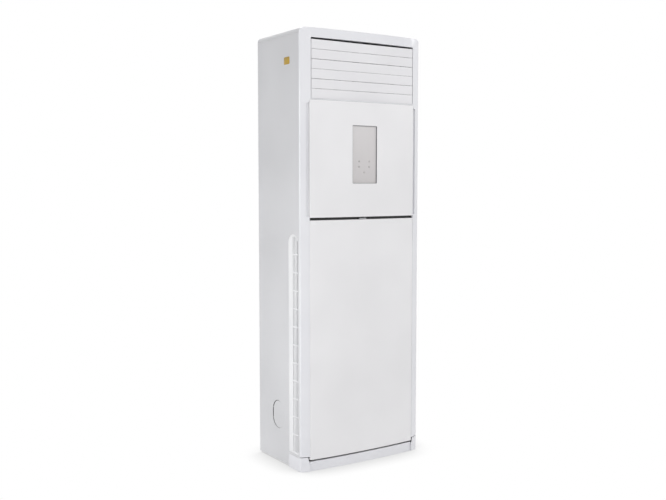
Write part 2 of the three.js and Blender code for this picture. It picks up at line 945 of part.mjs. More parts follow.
function airFilter(side) {
  const y0 = intakeFrontY + filterInset;
  const y1 = intakeBackY - filterInset;
  const z0 = intakeBottom + filterInset;
  const z1 = intakeTop - intakeWidth / 2;
  const cellWidth = (y1 - y0 - filterBar) / filterColumns;
  const cellHeight = (z1 - z0 - filterBar) / filterRows;
  const outer = halfWidth - grilleThickness - fitGap;
  const [x0, x1] = side < 0
    ? [-outer, filterThickness - outer]
    : [outer - filterThickness, outer];
  const cells = [];
  for (let row = 0; row < filterRows; row += 1) {
    for (let column = 0; column < filterColumns; column += 1) {
      const y = y0 + filterBar + column * cellWidth;
      const z = z0 + filterBar + row * cellHeight;
      cells.push(box(x0 - 1, x1 + 1, y, y + cellWidth - filterBar, z, z + cellHeight - filterBar));
    }
  }
  return cut(box(x0, x1, y0, y1, z0, z1), ...cells);
}

// ---------- blower ----------

function scrollOutline(grow, top) {
  const start = wheelRadius + scrollGap;
  const steps = 16;
  const points = [];
  for (let step = 0; step <= steps; step += 1) {
    const share = step / steps;
    const angle = THREE.MathUtils.degToRad(tongueAngle - share * scrollSweep);
    const radius = start + scrollGrowth * share + grow;
    points.push([radius * Math.cos(angle), wheelCentreHeight + radius * Math.sin(angle)]);
  }
  points.push([points[points.length - 1][0], top]);
  points.push([points[0][0], top]);
  return polygon(points);
}

function blowerHousing() {
  const top = partitionHeight - fitGap;
  const outer = alongY(scrollOutline(scrollWall, top), housingFrontY, housingBackY + scrollWall);
  const inner = alongY(scrollOutline(0, top + 1), housingFrontY - 1, housingBackY);
  const opening = rodY(motorOpening, housingBackY - 1, housingBackY + scrollWall + 1, 0, wheelCentreHeight);
  return cut(outer, inner, opening);
}

function inletPlate() {
  const top = partitionHeight - fitGap;
  const front = housingFrontY - fitGap - scrollWall;
  const plate = alongY(scrollOutline(scrollWall, top), front, housingFrontY - fitGap);
  const lip = inletRadius + bellmouthFlare;
  const profile = [
    new THREE.Vector2(inletRadius, -bellmouthDepth),
    new THREE.Vector2(inletRadius + scrollWall, -bellmouthDepth),
    new THREE.Vector2(inletRadius + scrollWall + 2, -bellmouthDepth / 2),
    new THREE.Vector2(lip, -scrollWall / 2),
    new THREE.Vector2(lip, scrollWall / 2),
    new THREE.Vector2(inletRadius + 2, -bellmouthDepth / 2),
    new THREE.Vector2(inletRadius, -bellmouthDepth),
  ];
  const bell = new THREE.LatheGeometry(profile, 20);
  bell.rotateX(Math.PI).translate(0, front + scrollWall / 2, wheelCentreHeight);
  const hole = rodY(lip - 1, front - 1, front + scrollWall + 1, 0, wheelCentreHeight, 20);
  return join(cut(plate, hole), bell);
}

// drawn about its own axis
function blowerWheel() {
  const back = wheelWidth;
  const inner = wheelRadius - wheelBladeDepth;
  const disc = rodY(wheelRadius, back - wheelDisc, back, 0, 0, 24);
  const rimShape = new THREE.Shape().absarc(0, 0, wheelRadius, 0, 2 * Math.PI);
  rimShape.holes.push(new THREE.Path().absarc(0, 0, wheelRadius - wheelRim, 0, 2 * Math.PI));
  const frontRim = alongY(rimShape, 0, wheelRim, 12);
  const hub = rodY(hubRadius, back - hubLength, back, 0, 0, 16);
  const shaft = rodY(shaftRadius, back - 1, housingBackY + motorLength / 2 - wheelFront, 0, 0, 12);
  const pieces = [disc, frontRim, hub, shaft];
  for (let index = 0; index < wheelBladeCount; index += 1) {
    const half = wheelBladeThickness / 2;
    const blade = box(inner, wheelRadius - 1, wheelRim / 2, back - wheelDisc / 2, -half, half);
    blade.translate(-wheelRadius, 0, 0).rotateY(0.55).translate(wheelRadius - 2, 0, 0);
    pieces.push(blade.rotateY((2 * Math.PI * index) / wheelBladeCount));
  }
  return join(...pieces);
}

function motorBracket() {
  const front = housingBackY + scrollWall + fitGap;
  const plate = rodY(motorBracketRadius, front, front + motorBracketThickness, 0, wheelCentreHeight);
  const hole = rodY(motorOpening, front - 1, front + motorBracketThickness + 1, 0, wheelCentreHeight);
  return cut(plate, hole);
}

function blowerMotor() {
  const front = housingBackY + scrollWall + 2 * fitGap + motorBracketThickness;
  const body = rodY(motorRadius, front, front + motorLength, 0, wheelCentreHeight);
  const bore = rodY(shaftRadius + fitGap, front - 1, front + motorLength / 2, 0, wheelCentreHeight, 12);
  return cut(body, bore);
}

// ---------- duct, coil, drain, pipes ----------

function bendSpan() {
  return (coilLength - 8 * bendRadius) / bendCount;
}

// the pipes leave the tube sheet halfway between its return bends
function pipeY(index) {
  return coilY() + index * bendSpan() * Math.sin(coilTiltAngle());
}

function pipeTopZ(index) {
  return coilZ() + index * bendSpan() * Math.cos(coilTiltAngle());
}

function pipeX() {
  return -coilHalfWidth - tubeSheetWall - 2 * fitGap - pipeBend;
}

function partitionPlate() {
  const half = sideInner - fitGap;
  const front = frameBackY + fitGap;
  const plate = box(-half, half, front, backInner - fitGap, partitionHeight, partitionTop);
  const start = wheelRadius + scrollGap;
  const left = -(start + scrollGrowth);
  const right = start * Math.cos(THREE.MathUtils.degToRad(tongueAngle));
  const mouth = box(left, right, housingFrontY, housingBackY, partitionHeight - 1, partitionTop + 1);
  const notches = [-1, 1].map((side) => {
    const [x0, x1] = [side * ductHalf, side * (half + 1)].sort((a, b) => a - b);
    return box(x0, x1, front - 1, intakeBackY + fitGap, partitionHeight - 1, partitionTop + 1);
  });
  const holes = [gasPipeRadius, liquidPipeRadius].map((radius, index) =>
    rodZ(radius + pipeHoleClearance, partitionHeight - 1, partitionTop + 1, pipeX(), pipeY(index), 12));
  return cut(plate, mouth, ...notches, ...holes);
}

function ductPlate() {
  return box(
    -ductHalf,
    ductHalf,
    ductPlateY,
    ductPlateY + sheetWall,
    partitionTop + fitGap,
    outletBottom - mouldedWall - fitGap,
  );
}

function coilTiltAngle() {
  return THREE.MathUtils.degToRad(coilTilt);
}

function coilY() {
  return (ductPlateY + backInner) / 2 - coilForward;
}

function coilZ() {
  const half = (coilLength / 2) * Math.cos(coilTiltAngle());
  const drop = (coilThickness / 2) * Math.sin(coilTiltAngle());
  return partitionTop + coilLift + half + drop;
}

// drawn upright about its middle
function coilFins() {
  const half = coilHalfWidth;
  const depth = coilThickness / 2;
  const pitch = (2 * half) / finCount;
  const points = [];
  for (let index = 0; index < finCount; index += 1) {
    const u = -half + index * pitch;
    points.push([u, -depth], [u + pitch / 2, -depth]);
    if (index < finCount - 1) points.push([u + pitch / 2, finGroove - depth], [u + pitch, finGroove - depth]);
  }
  const mirrored = points.map(([u, v]) => [-u, -v]);
  return alongZ(polygon([...points, ...mirrored]), -coilLength / 2, coilLength / 2);
}

function tubeSheet(side) {
  const near = side * (coilHalfWidth + fitGap);
  const far = near + side * tubeSheetWall;
  const wall = [near, far].sort((a, b) => a - b);
  const plate = box(wall[0], wall[1], -coilThickness / 2, coilThickness / 2, -coilLength / 2, coilLength / 2);
  const flangeEnd = side * (sideInner - fitGap);
  const reach = [near, flangeEnd].sort((a, b) => a - b);
  const top = coilLength / 2;
  const flange = box(reach[0], reach[1], -coilThickness / 2, coilThickness / 2, top - tubeSheetWall, top);
  const pieces = [plate, flange];
  const section = new THREE.Shape().absarc(0, 0, bendTube, 0, 2 * Math.PI);
  for (let index = 0; index < bendCount; index += 1) {
    const z = (index + 0.5 - bendCount / 2) * bendSpan();
    const start = far - side * (tubeSheetWall / 2);
    const path = new THREE.CatmullRomCurve3([
      new THREE.Vector3(start, 0, z - bendRadius),
      new THREE.Vector3(far + side * 4, 0, z - bendRadius),
      new THREE.Vector3(far + side * (bendRadius + 2), 0, z),
      new THREE.Vector3(far + side * 4, 0, z + bendRadius),
      new THREE.Vector3(start, 0, z + bendRadius),
    ]);
    pieces.push(new THREE.ExtrudeGeometry(section, { steps: 6, curveSegments: 3, extrudePath: path }));
  }
  return join(...pieces);
}

function drainPan() {
  const half = coilHalfWidth + 2 * bendRadius;
  const front = ductPlateY + sheetWall + fitGap;
  const back = front + drainPanDepth;
  const bottom = partitionTop + fitGap;
  const top = bottom + drainPanHeight;
  const wall = drainPanWall;
  const outer = box(-half, half, front, back, bottom, top);
  const inner = box(wall - half, half - wall, front + wall, back - wall, bottom + wall, top + 1);
  const spigotZ = bottom + spigotRadius;
  const spigotY = back - 2 * spigotRadius;
  const spigot = rodX(spigotRadius, half - wall, half + spigotLength, spigotY, spigotZ, 12);
  const bore = rodX(spigotBore, half - wall - 1, half + spigotLength + 1, spigotY, spigotZ, 12);
  return cut(join(cut(outer, inner), spigot), bore);
}

// from the tube sheet out towards the side, then down, with a flare nut at its end
function refrigerantPipe(radius, index) {
  const x = pipeX();
  const y = pipeY(index);
  const z = pipeTopZ(index);
  const startX = x + pipeBend;
  const path = new THREE.QuadraticBezierCurve3(
    new THREE.Vector3(startX, y, z),
    new THREE.Vector3(x, y, z),
    new THREE.Vector3(x, y, z - pipeBend),
  );
  const section = new THREE.Shape().absarc(0, 0, radius, 0, 2 * Math.PI);
  const elbow = new THREE.ExtrudeGeometry(section, { steps: 5, curveSegments: 5, extrudePath: path });
  const drop = rodZ(radius, pipeEndHeight, z - pipeBend + 0.5, x, y, 10);
  const nut = rodZ(radius + flareNutWall, pipeEndHeight - flareNutLength, pipeEndHeight + 1, x, y, 6);
  return join(elbow, drop, nut);
}

// ---------- electrical box ----------

function boxFrontY() {
  return edgeY + boxFrontSetback;
}

function electricalBox() {
  const half = boxWidth / 2;
  const top = partitionHeight - fitGap;
  const front = boxFrontY();
  const outer = box(-half, half, front, front + boxDepth, top - boxHeight, top);
  const inner = box(
    boxWall - half,
    half - boxWall,
    front - 1,
    front + boxDepth - boxWall,
    top - boxHeight + boxWall,
    top - boxWall,
  );
  const floorZ = top - boxHeight;
  const glandX = half - glandMargin;
  const glandY = front + glandSetback;
  const glandHole = rodZ(glandRadius, floorZ - 1, floorZ + boxWall + 1, glandX, glandY, 12);
  return cut(outer, inner, glandHole);
}

function electricalBoxLid() {
  const half = boxWidth / 2;
  const top = partitionHeight - fitGap;
  const back = boxFrontY() - fitGap;
  return box(-half, half, back - boxWall, back, top - boxHeight, top);
}

function controlBoard() {
  const half = boxWidth / 2 - controlBoardMargin;
  const top = partitionHeight - fitGap - controlBoardMargin;
  const bottom = partitionHeight - fitGap - boxHeight + controlBoardMargin;
  const back = boxFrontY() + boxDepth - boxWall - fitGap;
  const faceY = back - controlBoardLift;
  const board = box(-half, half, faceY - boardThickness, faceY, bottom, top);
  const standoffs = [-1, 1].map((side) => {
    const x = side * (half - 2 * standoffRadius);
    return rodY(standoffRadius, faceY - 1, back, x, (top + bottom) / 2, 8);
  });
  const onBoard = ([x0, width, z0, height], depth) =>
    box(x0, x0 + width, faceY - depth, faceY - 1, bottom + z0, bottom + z0 + height);
  const parts = [
    onBoard([heatSinkMargin - half, heatSinkWidth, 12, heatSinkHeight], componentHeight),
    onBoard([relayMargin - half, relayRowWidth, 10, relayHeight], componentHeight / 2),
    onBoard([half - terminalMargin - terminalWidth, terminalWidth, 6, terminalHeight], componentHeight),
    rodY(capacitorRadius, faceY - 2 * componentHeight, faceY - 1, 0, top - capacitorDrop, 12),
  ];
  return join(board, ...standoffs, ...parts);
}

// ---------- finishes and assembly ----------

const finishes = {
  whitePlastic: { color: 0xe4e4e6, roughness: 0.35, metalness: 0 },
  whiteGloss: { color: 0xe9e9ec, roughness: 0.2, metalness: 0 },
  whiteSteel: { color: 0xd2d1d7, roughness: 0.45, metalness: 0 },
  lens: { color: 0xc4bfbf, roughness: 0.25, metalness: 0.1 },
  keycap: { color: 0xb8b3b3, roughness: 0.4, metalness: 0 },
  blackGloss: { color: 0x08080a, roughness: 0.15, metalness: 0 },
  silver: { color: 0xb9babd, roughness: 0.3, metalness: 0.6 },
  galvanised: { color: 0xa9adb0, roughness: 0.5, metalness: 0.9 },
  aluminium: { color: 0xc3c7ca, roughness: 0.4, metalness: 1 },
  copper: { color: 0xb5704a, roughness: 0.35, metalness: 1 },
  greyPlastic: { color: 0x7d8185, roughness: 0.6, metalness: 0 },
  darkPlastic: { color: 0x2a2b2e, roughness: 0.6, metalness: 0 },
  rubber: { color: 0x1d1d1f, roughness: 0.9, metalness: 0 },
  circuit: { color: 0x2f6a45, roughness: 0.6, metalness: 0 },
  filterMesh: { color: 0x8fa0ab, roughness: 0.8, metalness: 0 },
};

const unit = new THREE.Group();
unit.name = 'floor_standing_air_conditioner';

function place(name, geometry, finish, parent = unit, position = [0, 0, 0]) {
  const shape = clean(geometry);
  shape.computeVertexNormals();
  const mesh = new THREE.Mesh(shape, new THREE.MeshStandardMaterial(finishes[finish]));
  mesh.name = name;
  mesh.position.set(...position);
  parent.add(mesh);
  return mesh;
}

function buildCasing() {
  place('base_pan', basePan(), 'galvanised');
  const footX = halfWidth - footInset;
  const footPlaces = {
    foot_front_left: [-footX, panFrontY + footInset, 0],
    foot_front_right: [footX, panFrontY + footInset, 0],
    foot_rear_left: [-footX, backY - footInset, 0],
    foot_rear_right: [footX, backY - footInset, 0],
  };
  for (const [name, position] of Object.entries(footPlaces)) {
    place(name, foot(), 'rubber', unit, position);
  }
  place('plinth', plinth(), 'whitePlastic');
  place('left_side_panel', sidePanel(-1), 'whiteSteel');
  place('right_side_panel', sidePanel(1), 'whiteSteel');
  place('pipe_knockout', knockoutPlate(), 'whiteSteel');
  place('back_panel', backPanel(), 'whiteSteel');
  place('top_cover', topCover(), 'whiteSteel');
  place('intake_grille_left', intakeGrille(-1), 'whitePlastic');
  place('intake_grille_right', intakeGrille(1), 'whitePlastic');
  place('filter_left', airFilter(-1), 'filterMesh');
  place('filter_right', airFilter(1), 'filterMesh');
}

function buildFront() {
  place('front_frame', frontFrame(), 'whiteGloss');
  place('upper_display_panel', upperDisplayPanel(), 'whitePlastic');
  place('display_window', displayWindow(), 'lens');
  place('display_board', displayBoard(), 'circuit');
  const keyNames = ['key_mode', 'key_fan', 'key_up', 'key_down', 'key_power'];
  keyPlaces().forEach(([x, z], index) => {
    place(keyNames[index], displayKey(), 'keycap', unit, [x, windowFrontY, z]);
  });
  place('lower_front_panel', lowerFrontPanel(), 'whitePlastic');
  place('mid_rail', midRail(), 'blackGloss');
  place('panel_catch', panelCatch(), 'silver');
}

function buildOutlet() {
  place('outlet_liner', outletLiner(), 'darkPlastic');
  for (let index = 0; index < bladeCount; index += 1) {
    const position = [0, bladePivotY, bladePivotZ(index)];
    place(`louvre_blade_${index + 1}`, louvreBlade(), 'whitePlastic', unit, position);
  }
  place('blade_link', bladeLink(), 'greyPlastic', unit, [0, bladePivotY + crankReach, bladePivotZ(0)]);
  place('louvre_motor', louvreMotor(), 'silver');
  for (let index = 0; index < vaneCount; index += 1) {
    const position = [vaneX(index), vanePivotY, 0];
    place(`upright_vane_${index + 1}`, uprightVane(), 'greyPlastic', unit, position);
  }
  place('vane_link', vaneLink(), 'greyPlastic', unit, [vaneX(0), vanePivotY + vaneLinkReach, 0]);
  place('swing_motor', swingMotor(), 'silver');
}

function buildAirPath() {
  place('partition_plate', partitionPlate(), 'galvanised');
  place('duct_plate', ductPlate(), 'galvanised');
  const coil = new THREE.Group();
  coil.position.set(0, coilY(), coilZ());
  coil.rotation.x = -coilTiltAngle();
  unit.add(coil);
  place('coil_fins', coilFins(), 'aluminium', coil);
  place('tube_sheet_left', tubeSheet(-1), 'copper', coil);
  place('tube_sheet_right', tubeSheet(1), 'copper', coil);
  place('drain_pan', drainPan(), 'greyPlastic');
  place('gas_pipe', refrigerantPipe(gasPipeRadius, 0), 'copper');
  place('liquid_pipe', refrigerantPipe(liquidPipeRadius, 1), 'copper');
}

function buildBlower() {
  place('blower_housing', blowerHousing(), 'galvanised');
  place('inlet_plate', inletPlate(), 'galvanised');
  place('blower_wheel', blowerWheel(), 'darkPlastic', unit, [0, wheelFront, wheelCentreHeight]);
  place('motor_bracket', motorBracket(), 'galvanised');
  place('blower_motor', blowerMotor(), 'silver');
}

function buildElectrics() {
  place('electrical_box', electricalBox(), 'galvanised');
  place('electrical_box_lid', electricalBoxLid(), 'galvanised');
  place('control_board', controlBoard(), 'circuit');
}

buildCasing();
buildFront();
buildOutlet();
buildAirPath();
buildBlower();
buildElectrics();

export default unit;
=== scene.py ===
import math

import bmesh
import bpy
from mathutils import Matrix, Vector
from mathutils.geometry import delaunay_2d_cdt


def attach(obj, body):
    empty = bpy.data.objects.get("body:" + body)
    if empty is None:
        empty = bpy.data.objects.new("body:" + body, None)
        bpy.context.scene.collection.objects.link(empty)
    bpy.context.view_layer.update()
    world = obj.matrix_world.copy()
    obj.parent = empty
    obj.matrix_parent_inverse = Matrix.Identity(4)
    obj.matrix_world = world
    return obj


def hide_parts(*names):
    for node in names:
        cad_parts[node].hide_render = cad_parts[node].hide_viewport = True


# Floor standing air conditioner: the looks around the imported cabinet.
# Lengths in the dictionaries are millimetres in the cabinet's own frame, and the studio's are metres.

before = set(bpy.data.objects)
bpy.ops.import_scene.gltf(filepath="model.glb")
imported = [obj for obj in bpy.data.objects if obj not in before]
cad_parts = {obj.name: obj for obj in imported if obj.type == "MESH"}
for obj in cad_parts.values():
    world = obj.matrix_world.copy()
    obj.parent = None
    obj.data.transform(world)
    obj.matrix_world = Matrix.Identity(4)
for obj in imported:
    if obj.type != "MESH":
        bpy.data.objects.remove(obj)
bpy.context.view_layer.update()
mm = 0.001


# small helpers

def toLinear(hexColour):
    channels = [int(hexColour[i:i + 2], 16) / 255 for i in (1, 3, 5)]
    return tuple(c / 12.92 if c <= 0.04045 else ((c + 0.055) / 1.055) ** 2.4 for c in channels) + (1.0,)


def addNode(tree, kind, inputs=None, **settings):
    node = tree.nodes.new(kind)
    for name, value in settings.items():
        setattr(node, name, value)
    for name, value in (inputs or {}).items():
        if isinstance(value, bpy.types.NodeSocket):
            tree.links.new(value, node.inputs[name])
        else:
            node.inputs[name].default_value = value
    return node


def startMaterial(name, **surface):
    # a Principled surface; plain numbers sit straight on its own sockets
    material = bpy.data.materials.new(name)
    material.use_nodes = True
    tree = material.node_tree
    tree.nodes.clear()
    shader = addNode(tree, "ShaderNodeBsdfPrincipled")
    for socket, value in surface.items():
        label = socket.replace("_", " ")
        shader.inputs[label].default_value = toLinear(value) if isinstance(value, str) else value
    output = addNode(tree, "ShaderNodeOutputMaterial")
    tree.links.new(shader.outputs[0], output.inputs[0])
    return material, tree, shader


def objectPoints(tree, stretch=(1, 1, 1)):
    # the piece's own coordinates, in millimetres
    place = addNode(tree, "ShaderNodeTexCoord")
    return addNode(tree, "ShaderNodeMapping", {
        "Vector": place.outputs["Object"],
        "Scale": tuple(1000 * s for s in stretch)}).outputs[0]


def speckle(tree, points, size, detail=2.0):
    # noise whose grains are about so many millimetres across
    return addNode(tree, "ShaderNodeTexNoise", {
        "Vector": points, "Scale": 1 / size, "Detail": detail}).outputs[0]


def spread(tree, value, low, high, fromLow=0.3, fromHigh=0.7):
    # noise stays mostly between 0.3 and 0.7, so that part is stretched from low to high
    return addNode(tree, "ShaderNodeMapRange", {
        "Value": value, "From Min": fromLow, "From Max": fromHigh,
        "To Min": low, "To Max": high}).outputs[0]


def waveScale(spacing):
    # the wave texture's scale for bands that many millimetres apart
    return 2 * math.pi / (20 * spacing)


def mixColours(tree, share, first, second):
    node = addNode(tree, "ShaderNodeMix", data_type="RGBA")
    tree.links.new(share, node.inputs[0])
    for socket, colour in ((node.inputs[6], first), (node.inputs[7], second)):
        if isinstance(colour, bpy.types.NodeSocket):
            tree.links.new(colour, socket)
        else:
            socket.default_value = toLinear(colour)
    return node.outputs[2]


def bumpUp(tree, shader, heights):
    # heights: pairs of a height value and its depth in millimetres
    normal = None
    for height, depth in heights:
        settings = {"Height": height, "Distance": depth * mm, "Strength": 1.0}
        if normal is not None:
            settings["Normal"] = normal
        normal = addNode(tree, "ShaderNodeBump", settings).outputs[0]
    tree.links.new(normal, shader.inputs["Normal"])


# materials, each from what the real one is

def mouldedAbs(name, low, high, roughness, grain, gloss=0.0):
    # injection moulded ABS: clean off-white, faint orange peel and the slow shade drift of a large moulding
    material, tree, shader = startMaterial(name, IOR=1.54, Coat_Weight=gloss, Coat_Roughness=0.08)
    points = objectPoints(tree)
    drift = spread(tree, speckle(tree, points, 260, 1.5), 0, 1)
    tree.links.new(mixColours(tree, drift, low, high), shader.inputs["Base Color"])
    rub = speckle(tree, points, 38, 3)
    tree.links.new(spread(tree, rub, roughness - 0.03, roughness + 0.04), shader.inputs["Roughness"])
    peel = speckle(tree, points, grain, 1)   # real peel is 1 to 2 mm, drawn coarser so that it shows
    bumpUp(tree, shader, [(peel, 0.02)])
    return material


def powderCoat(name, low, high):
    # powder coated sheet steel: cooler and duller than the mouldings, a pebbled skin about 1.4 mm across
    material, tree, shader = startMaterial(name, IOR=1.5)
    points = objectPoints(tree)
    drift = spread(tree, speckle(tree, points, 330, 1.5), 0, 1)
    tree.links.new(mixColours(tree, drift, low, high), shader.inputs["Base Color"])
    tree.links.new(spread(tree, speckle(tree, points, 50, 3), 0.4, 0.48), shader.inputs["Roughness"])
    pebble = addNode(tree, "ShaderNodeTexVoronoi", {
        "Vector": points, "Scale": 1 / 1.4, "Smoothness": 0.6}, feature="SMOOTH_F1").outputs[0]
    oilCanning = speckle(tree, points, 420, 1)   # a large thin sheet is never quite flat
    bumpUp(tree, shader, [(pebble, 0.03), (oilCanning, 0.8)])
    return material


def printedAcrylic(name):
    # clear acrylic printed silver grey on its back: a hard clear gloss over fine pearl flakes
    material, tree, shader = startMaterial(
        name, IOR=1.49, Roughness=0.42, Coat_Weight=0.6, Coat_Roughness=0.05, Coat_IOR=1.49)
    points = objectPoints(tree)
    height = addNode(tree, "ShaderNodeSeparateXYZ", {"Vector": points}).outputs[2]
    # the grey grows lighter towards the top
    fade = spread(tree, height, 0, 1, 1150, 1380)
    base = mixColours(tree, fade, "#BEBABA", "#CDCACA")
    flakes = addNode(tree, "ShaderNodeTexVoronoi", {"Vector": points, "Scale": 1 / 0.8}).outputs[0]
    sparkle = spread(tree, flakes, 0, 0.25, 0.1, 0.8)
    tree.links.new(mixColours(tree, sparkle, base, "#D6D3D3"), shader.inputs["Base Color"])
    bumpUp(tree, shader, [(speckle(tree, points, 45, 1), 0.05)])
    return material


def printedMark(name):
    # screen printed ink, a shade darker than the window, very slightly raised and matt
    material, tree, shader = startMaterial(name, IOR=1.5, Roughness=0.55)
    points = objectPoints(tree)
    wear = spread(tree, speckle(tree, points, 1.2, 2), 0, 1)
    tree.links.new(mixColours(tree, wear, "#8F8B8B", "#A09C9C"), shader.inputs["Base Color"])
    bumpUp(tree, shader, [(speckle(tree, points, 0.5, 1), 0.01)])
    return material


def plainMoulding(name, low, high, roughness, grain, depth, size=60):
    # moulded plastic or rubber with a spark eroded grain, which dulls its gloss evenly
    material, tree, shader = startMaterial(name, IOR=1.49)
    points = objectPoints(tree)
    drift = spread(tree, speckle(tree, points, size, 3), 0, 1)
    tree.links.new(mixColours(tree, drift, low, high), shader.inputs["Base Color"])
    tree.links.new(spread(tree, speckle(tree, points, 12, 2), roughness - 0.05, roughness + 0.05),
                   shader.inputs["Roughness"])
    bumpUp(tree, shader, [(speckle(tree, points, grain, 2), depth)])
    return material


def galvanisedSteel(name):
    # hot dip galvanised sheet: zinc crystals 10 to 15 mm across, each with its own tone and gloss
    material, tree, shader = startMaterial(name, Metallic=1.0)
    points = objectPoints(tree)
    crystals = addNode(tree, "ShaderNodeTexVoronoi", {
        "Vector": points, "Scale": 1 / 13, "Randomness": 1.0}).outputs[1]
    tone = addNode(tree, "ShaderNodeSeparateXYZ", {"Vector": crystals}).outputs[0]
    tree.links.new(mixColours(tree, tone, "#A5A9AD", "#BEC2C5"), shader.inputs["Base Color"])
    tree.links.new(spread(tree, tone, 0.34, 0.5, 0, 1), shader.inputs["Roughness"])
    bumpUp(tree, shader, [(speckle(tree, points, 6, 3), 0.03)])
    return material


def finStock(name):
    # stamped aluminium fin stock: a bright fin edge every 1.8 mm, drawn 3 mm apart so that the edges show;
    # the dark bands between them are painted shade in the gaps
    material, tree, shader = startMaterial(name, Metallic=1.0, Roughness=0.36)
    points = objectPoints(tree)
    finsAndGapShade = addNode(tree, "ShaderNodeTexWave", {
        "Vector": points, "Scale": waveScale(3.0), "Distortion": 0.6, "Detail Scale": 0.05},
        wave_type="BANDS", bands_direction="X").outputs[1]
    # pale bands are the fin edges, dark bands painted shade in the gaps
    tree.links.new(mixColours(tree, finsAndGapShade, "#6E7275", "#D5D8DA"), shader.inputs["Base Color"])
    bumpUp(tree, shader, [(finsAndGapShade, 0.7), (speckle(tree, points, 14, 3), 0.1)])
    return material


def drawnCopper(name):
    # drawn copper: bright pink orange with brown tarnish in patches and fine draw lines
    material, tree, shader = startMaterial(name, Metallic=1.0)
    points = objectPoints(tree)
    tarnish = spread(tree, speckle(tree, points, 18, 4), 0, 1, 0.4, 0.7)
    tree.links.new(mixColours(tree, tarnish, "#C9825A", "#8E5436"), shader.inputs["Base Color"])
    tree.links.new(spread(tree, tarnish, 0.24, 0.5, 0, 1), shader.inputs["Roughness"])
    lines = speckle(tree, objectPoints(tree, (1, 1, 0.06)), 1.5, 2)
    bumpUp(tree, shader, [(lines, 0.03)])
    return material


def brushedPlate(name, low, high, roughness):
    # steel brushed along its length, then plated: fine lines that draw the gloss out along them
    material, tree, shader = startMaterial(name, Metallic=1.0, Anisotropic=0.4)
    lines = speckle(tree, objectPoints(tree, (0.03, 1, 1)), 0.7, 3)
    tree.links.new(mixColours(tree, spread(tree, lines, 0, 1), low, high), shader.inputs["Base Color"])
    tree.links.new(spread(tree, lines, roughness - 0.06, roughness + 0.06), shader.inputs["Roughness"])
    bumpUp(tree, shader, [(lines, 0.02)])
    return material


def solderResist(name):
    # glass epoxy board: green lacquer over copper tracks that show as paler lines
    material, tree, shader = startMaterial(name, IOR=1.5, Roughness=0.35, Coat_Weight=0.4, Coat_Roughness=0.2)
    points = objectPoints(tree)
    tracks = addNode(tree, "ShaderNodeTexBrick", {
        "Vector": points, "Scale": 1.0, "Mortar Size": 0.7, "Mortar Smooth": 0.2,
        "Brick Width": 14.0, "Row Height": 5.0,
        "Color1": toLinear("#1F5A38"), "Color2": toLinear("#256641"), "Mortar": toLinear("#5C9A6C")})
    tree.links.new(tracks.outputs[0], shader.inputs["Base Color"])
    bumpUp(tree, shader, [(tracks.outputs[1], 0.06)])
    return material


def wovenNylon(name):
    # nylon filter cloth: threads 1 mm apart drawn 2 mm apart, crossing over and under
    material, tree, shader = startMaterial(name, IOR=1.53, Roughness=0.6, Sheen_Weight=0.3)
    points = objectPoints(tree)
    heights = [addNode(tree, "ShaderNodeTexWave", {"Vector": points, "Scale": waveScale(2.0)},
                       wave_type="BANDS", bands_direction=axis).outputs[1] for axis in ("Y", "Z")]
    weave = addNode(tree, "ShaderNodeMath", {0: heights[0], 1: heights[1]}, operation="MAXIMUM").outputs[0]
    tree.links.new(mixColours(tree, weave, "#AEB5B8", "#D8DCDE"), shader.inputs["Base Color"])
    bumpUp(tree, shader, [(weave, 0.4)])
    return material


def stickerFilm(name):
    # plain yellow vinyl label: flat printed colour under a thin clear film, a little uneven where it is stuck
    material, tree, shader = startMaterial(
        name, IOR=1.5, Roughness=0.4, Coat_Weight=0.15, Coat_Roughness=0.08)
    points = objectPoints(tree)
    fading = spread(tree, speckle(tree, points, 22, 2), 0, 1)
    tree.links.new(mixColours(tree, fading, "#A88608", "#B79414"), shader.inputs["Base Color"])
    bumpUp(tree, shader, [(speckle(tree, points, 9, 2), 0.05)])
    return material


finish = {
    "frontGloss": mouldedAbs("frontGlossAbs", "#DADADE", "#E0E0E3", 0.2, 14.0, 0.4),
    "panelSatin": mouldedAbs("panelSatinAbs", "#E0DFE0", "#E6E5E6", 0.33, 12.0),
    "bladeSatin": mouldedAbs("bladeSatinAbs", "#DBDADC", "#E1E0E2", 0.33, 10.0),
    "grilleWhite": mouldedAbs("grilleSatinAbs", "#E3E3E5", "#E9E9EA", 0.34, 9.0),
    "whiteSteel": powderCoat("powderCoatedSteel", "#CACACC", "#D2D2D4"),
    "windowAcrylic": printedAcrylic("backPrintedAcrylic"),
    "keyMark": printedMark("printedKeyInk"),
    "keycap": plainMoulding("greyMouldedKey", "#B4B0B0", "#BDB9B9", 0.34, 0.8, 0.01, 5),
    "blackAbs": plainMoulding("blackGlossAbs", "#08080A", "#0E0E10", 0.2, 1.4, 0.006),
    "catchSteel": brushedPlate("brushedNickelSteel", "#A9AAAD", "#CFD0D2", 0.28),
    "galvanised": galvanisedSteel("galvanisedSheet"),
    # the fin stock carries painted shade in the gaps between the fin edges
    "finsAndGapShade": finStock("aluminiumFinsWithGapShade"),
    "copper": drawnCopper("drawnCopperTube"),
    "motorCan": brushedPlate("zincPlatedMotorCan", "#8D9093", "#B4B7BA", 0.36),
    "greyPlastic": plainMoulding("greyPolypropylene", "#7A7E82", "#85898D", 0.52, 1.1, 0.03),
    # the seal's grey doubles as painted shade in the window's recess
    "sealGreyAndRecessShade": plainMoulding("greySealAndRecessShade", "#55585B", "#5E6164", 0.6, 1.0, 0.02),
    "darkPlastic": plainMoulding("darkPolypropylene", "#232427", "#2D2E31", 0.55, 1.2, 0.04),
    "board": solderResist("solderResistBoard"),
    "filterCloth": wovenNylon("wovenNylonMesh"),
    "rubber": plainMoulding("mouldedRubber", "#18181A", "#232325", 0.8, 0.9, 0.05, 25),
    "screwZinc": brushedPlate("zincPlatedScrew", "#A4A6A8", "#C8CACB", 0.3),
    "sticker": stickerFilm("yellowVinylLabel"),
}
print("materials ready")


# making pieces

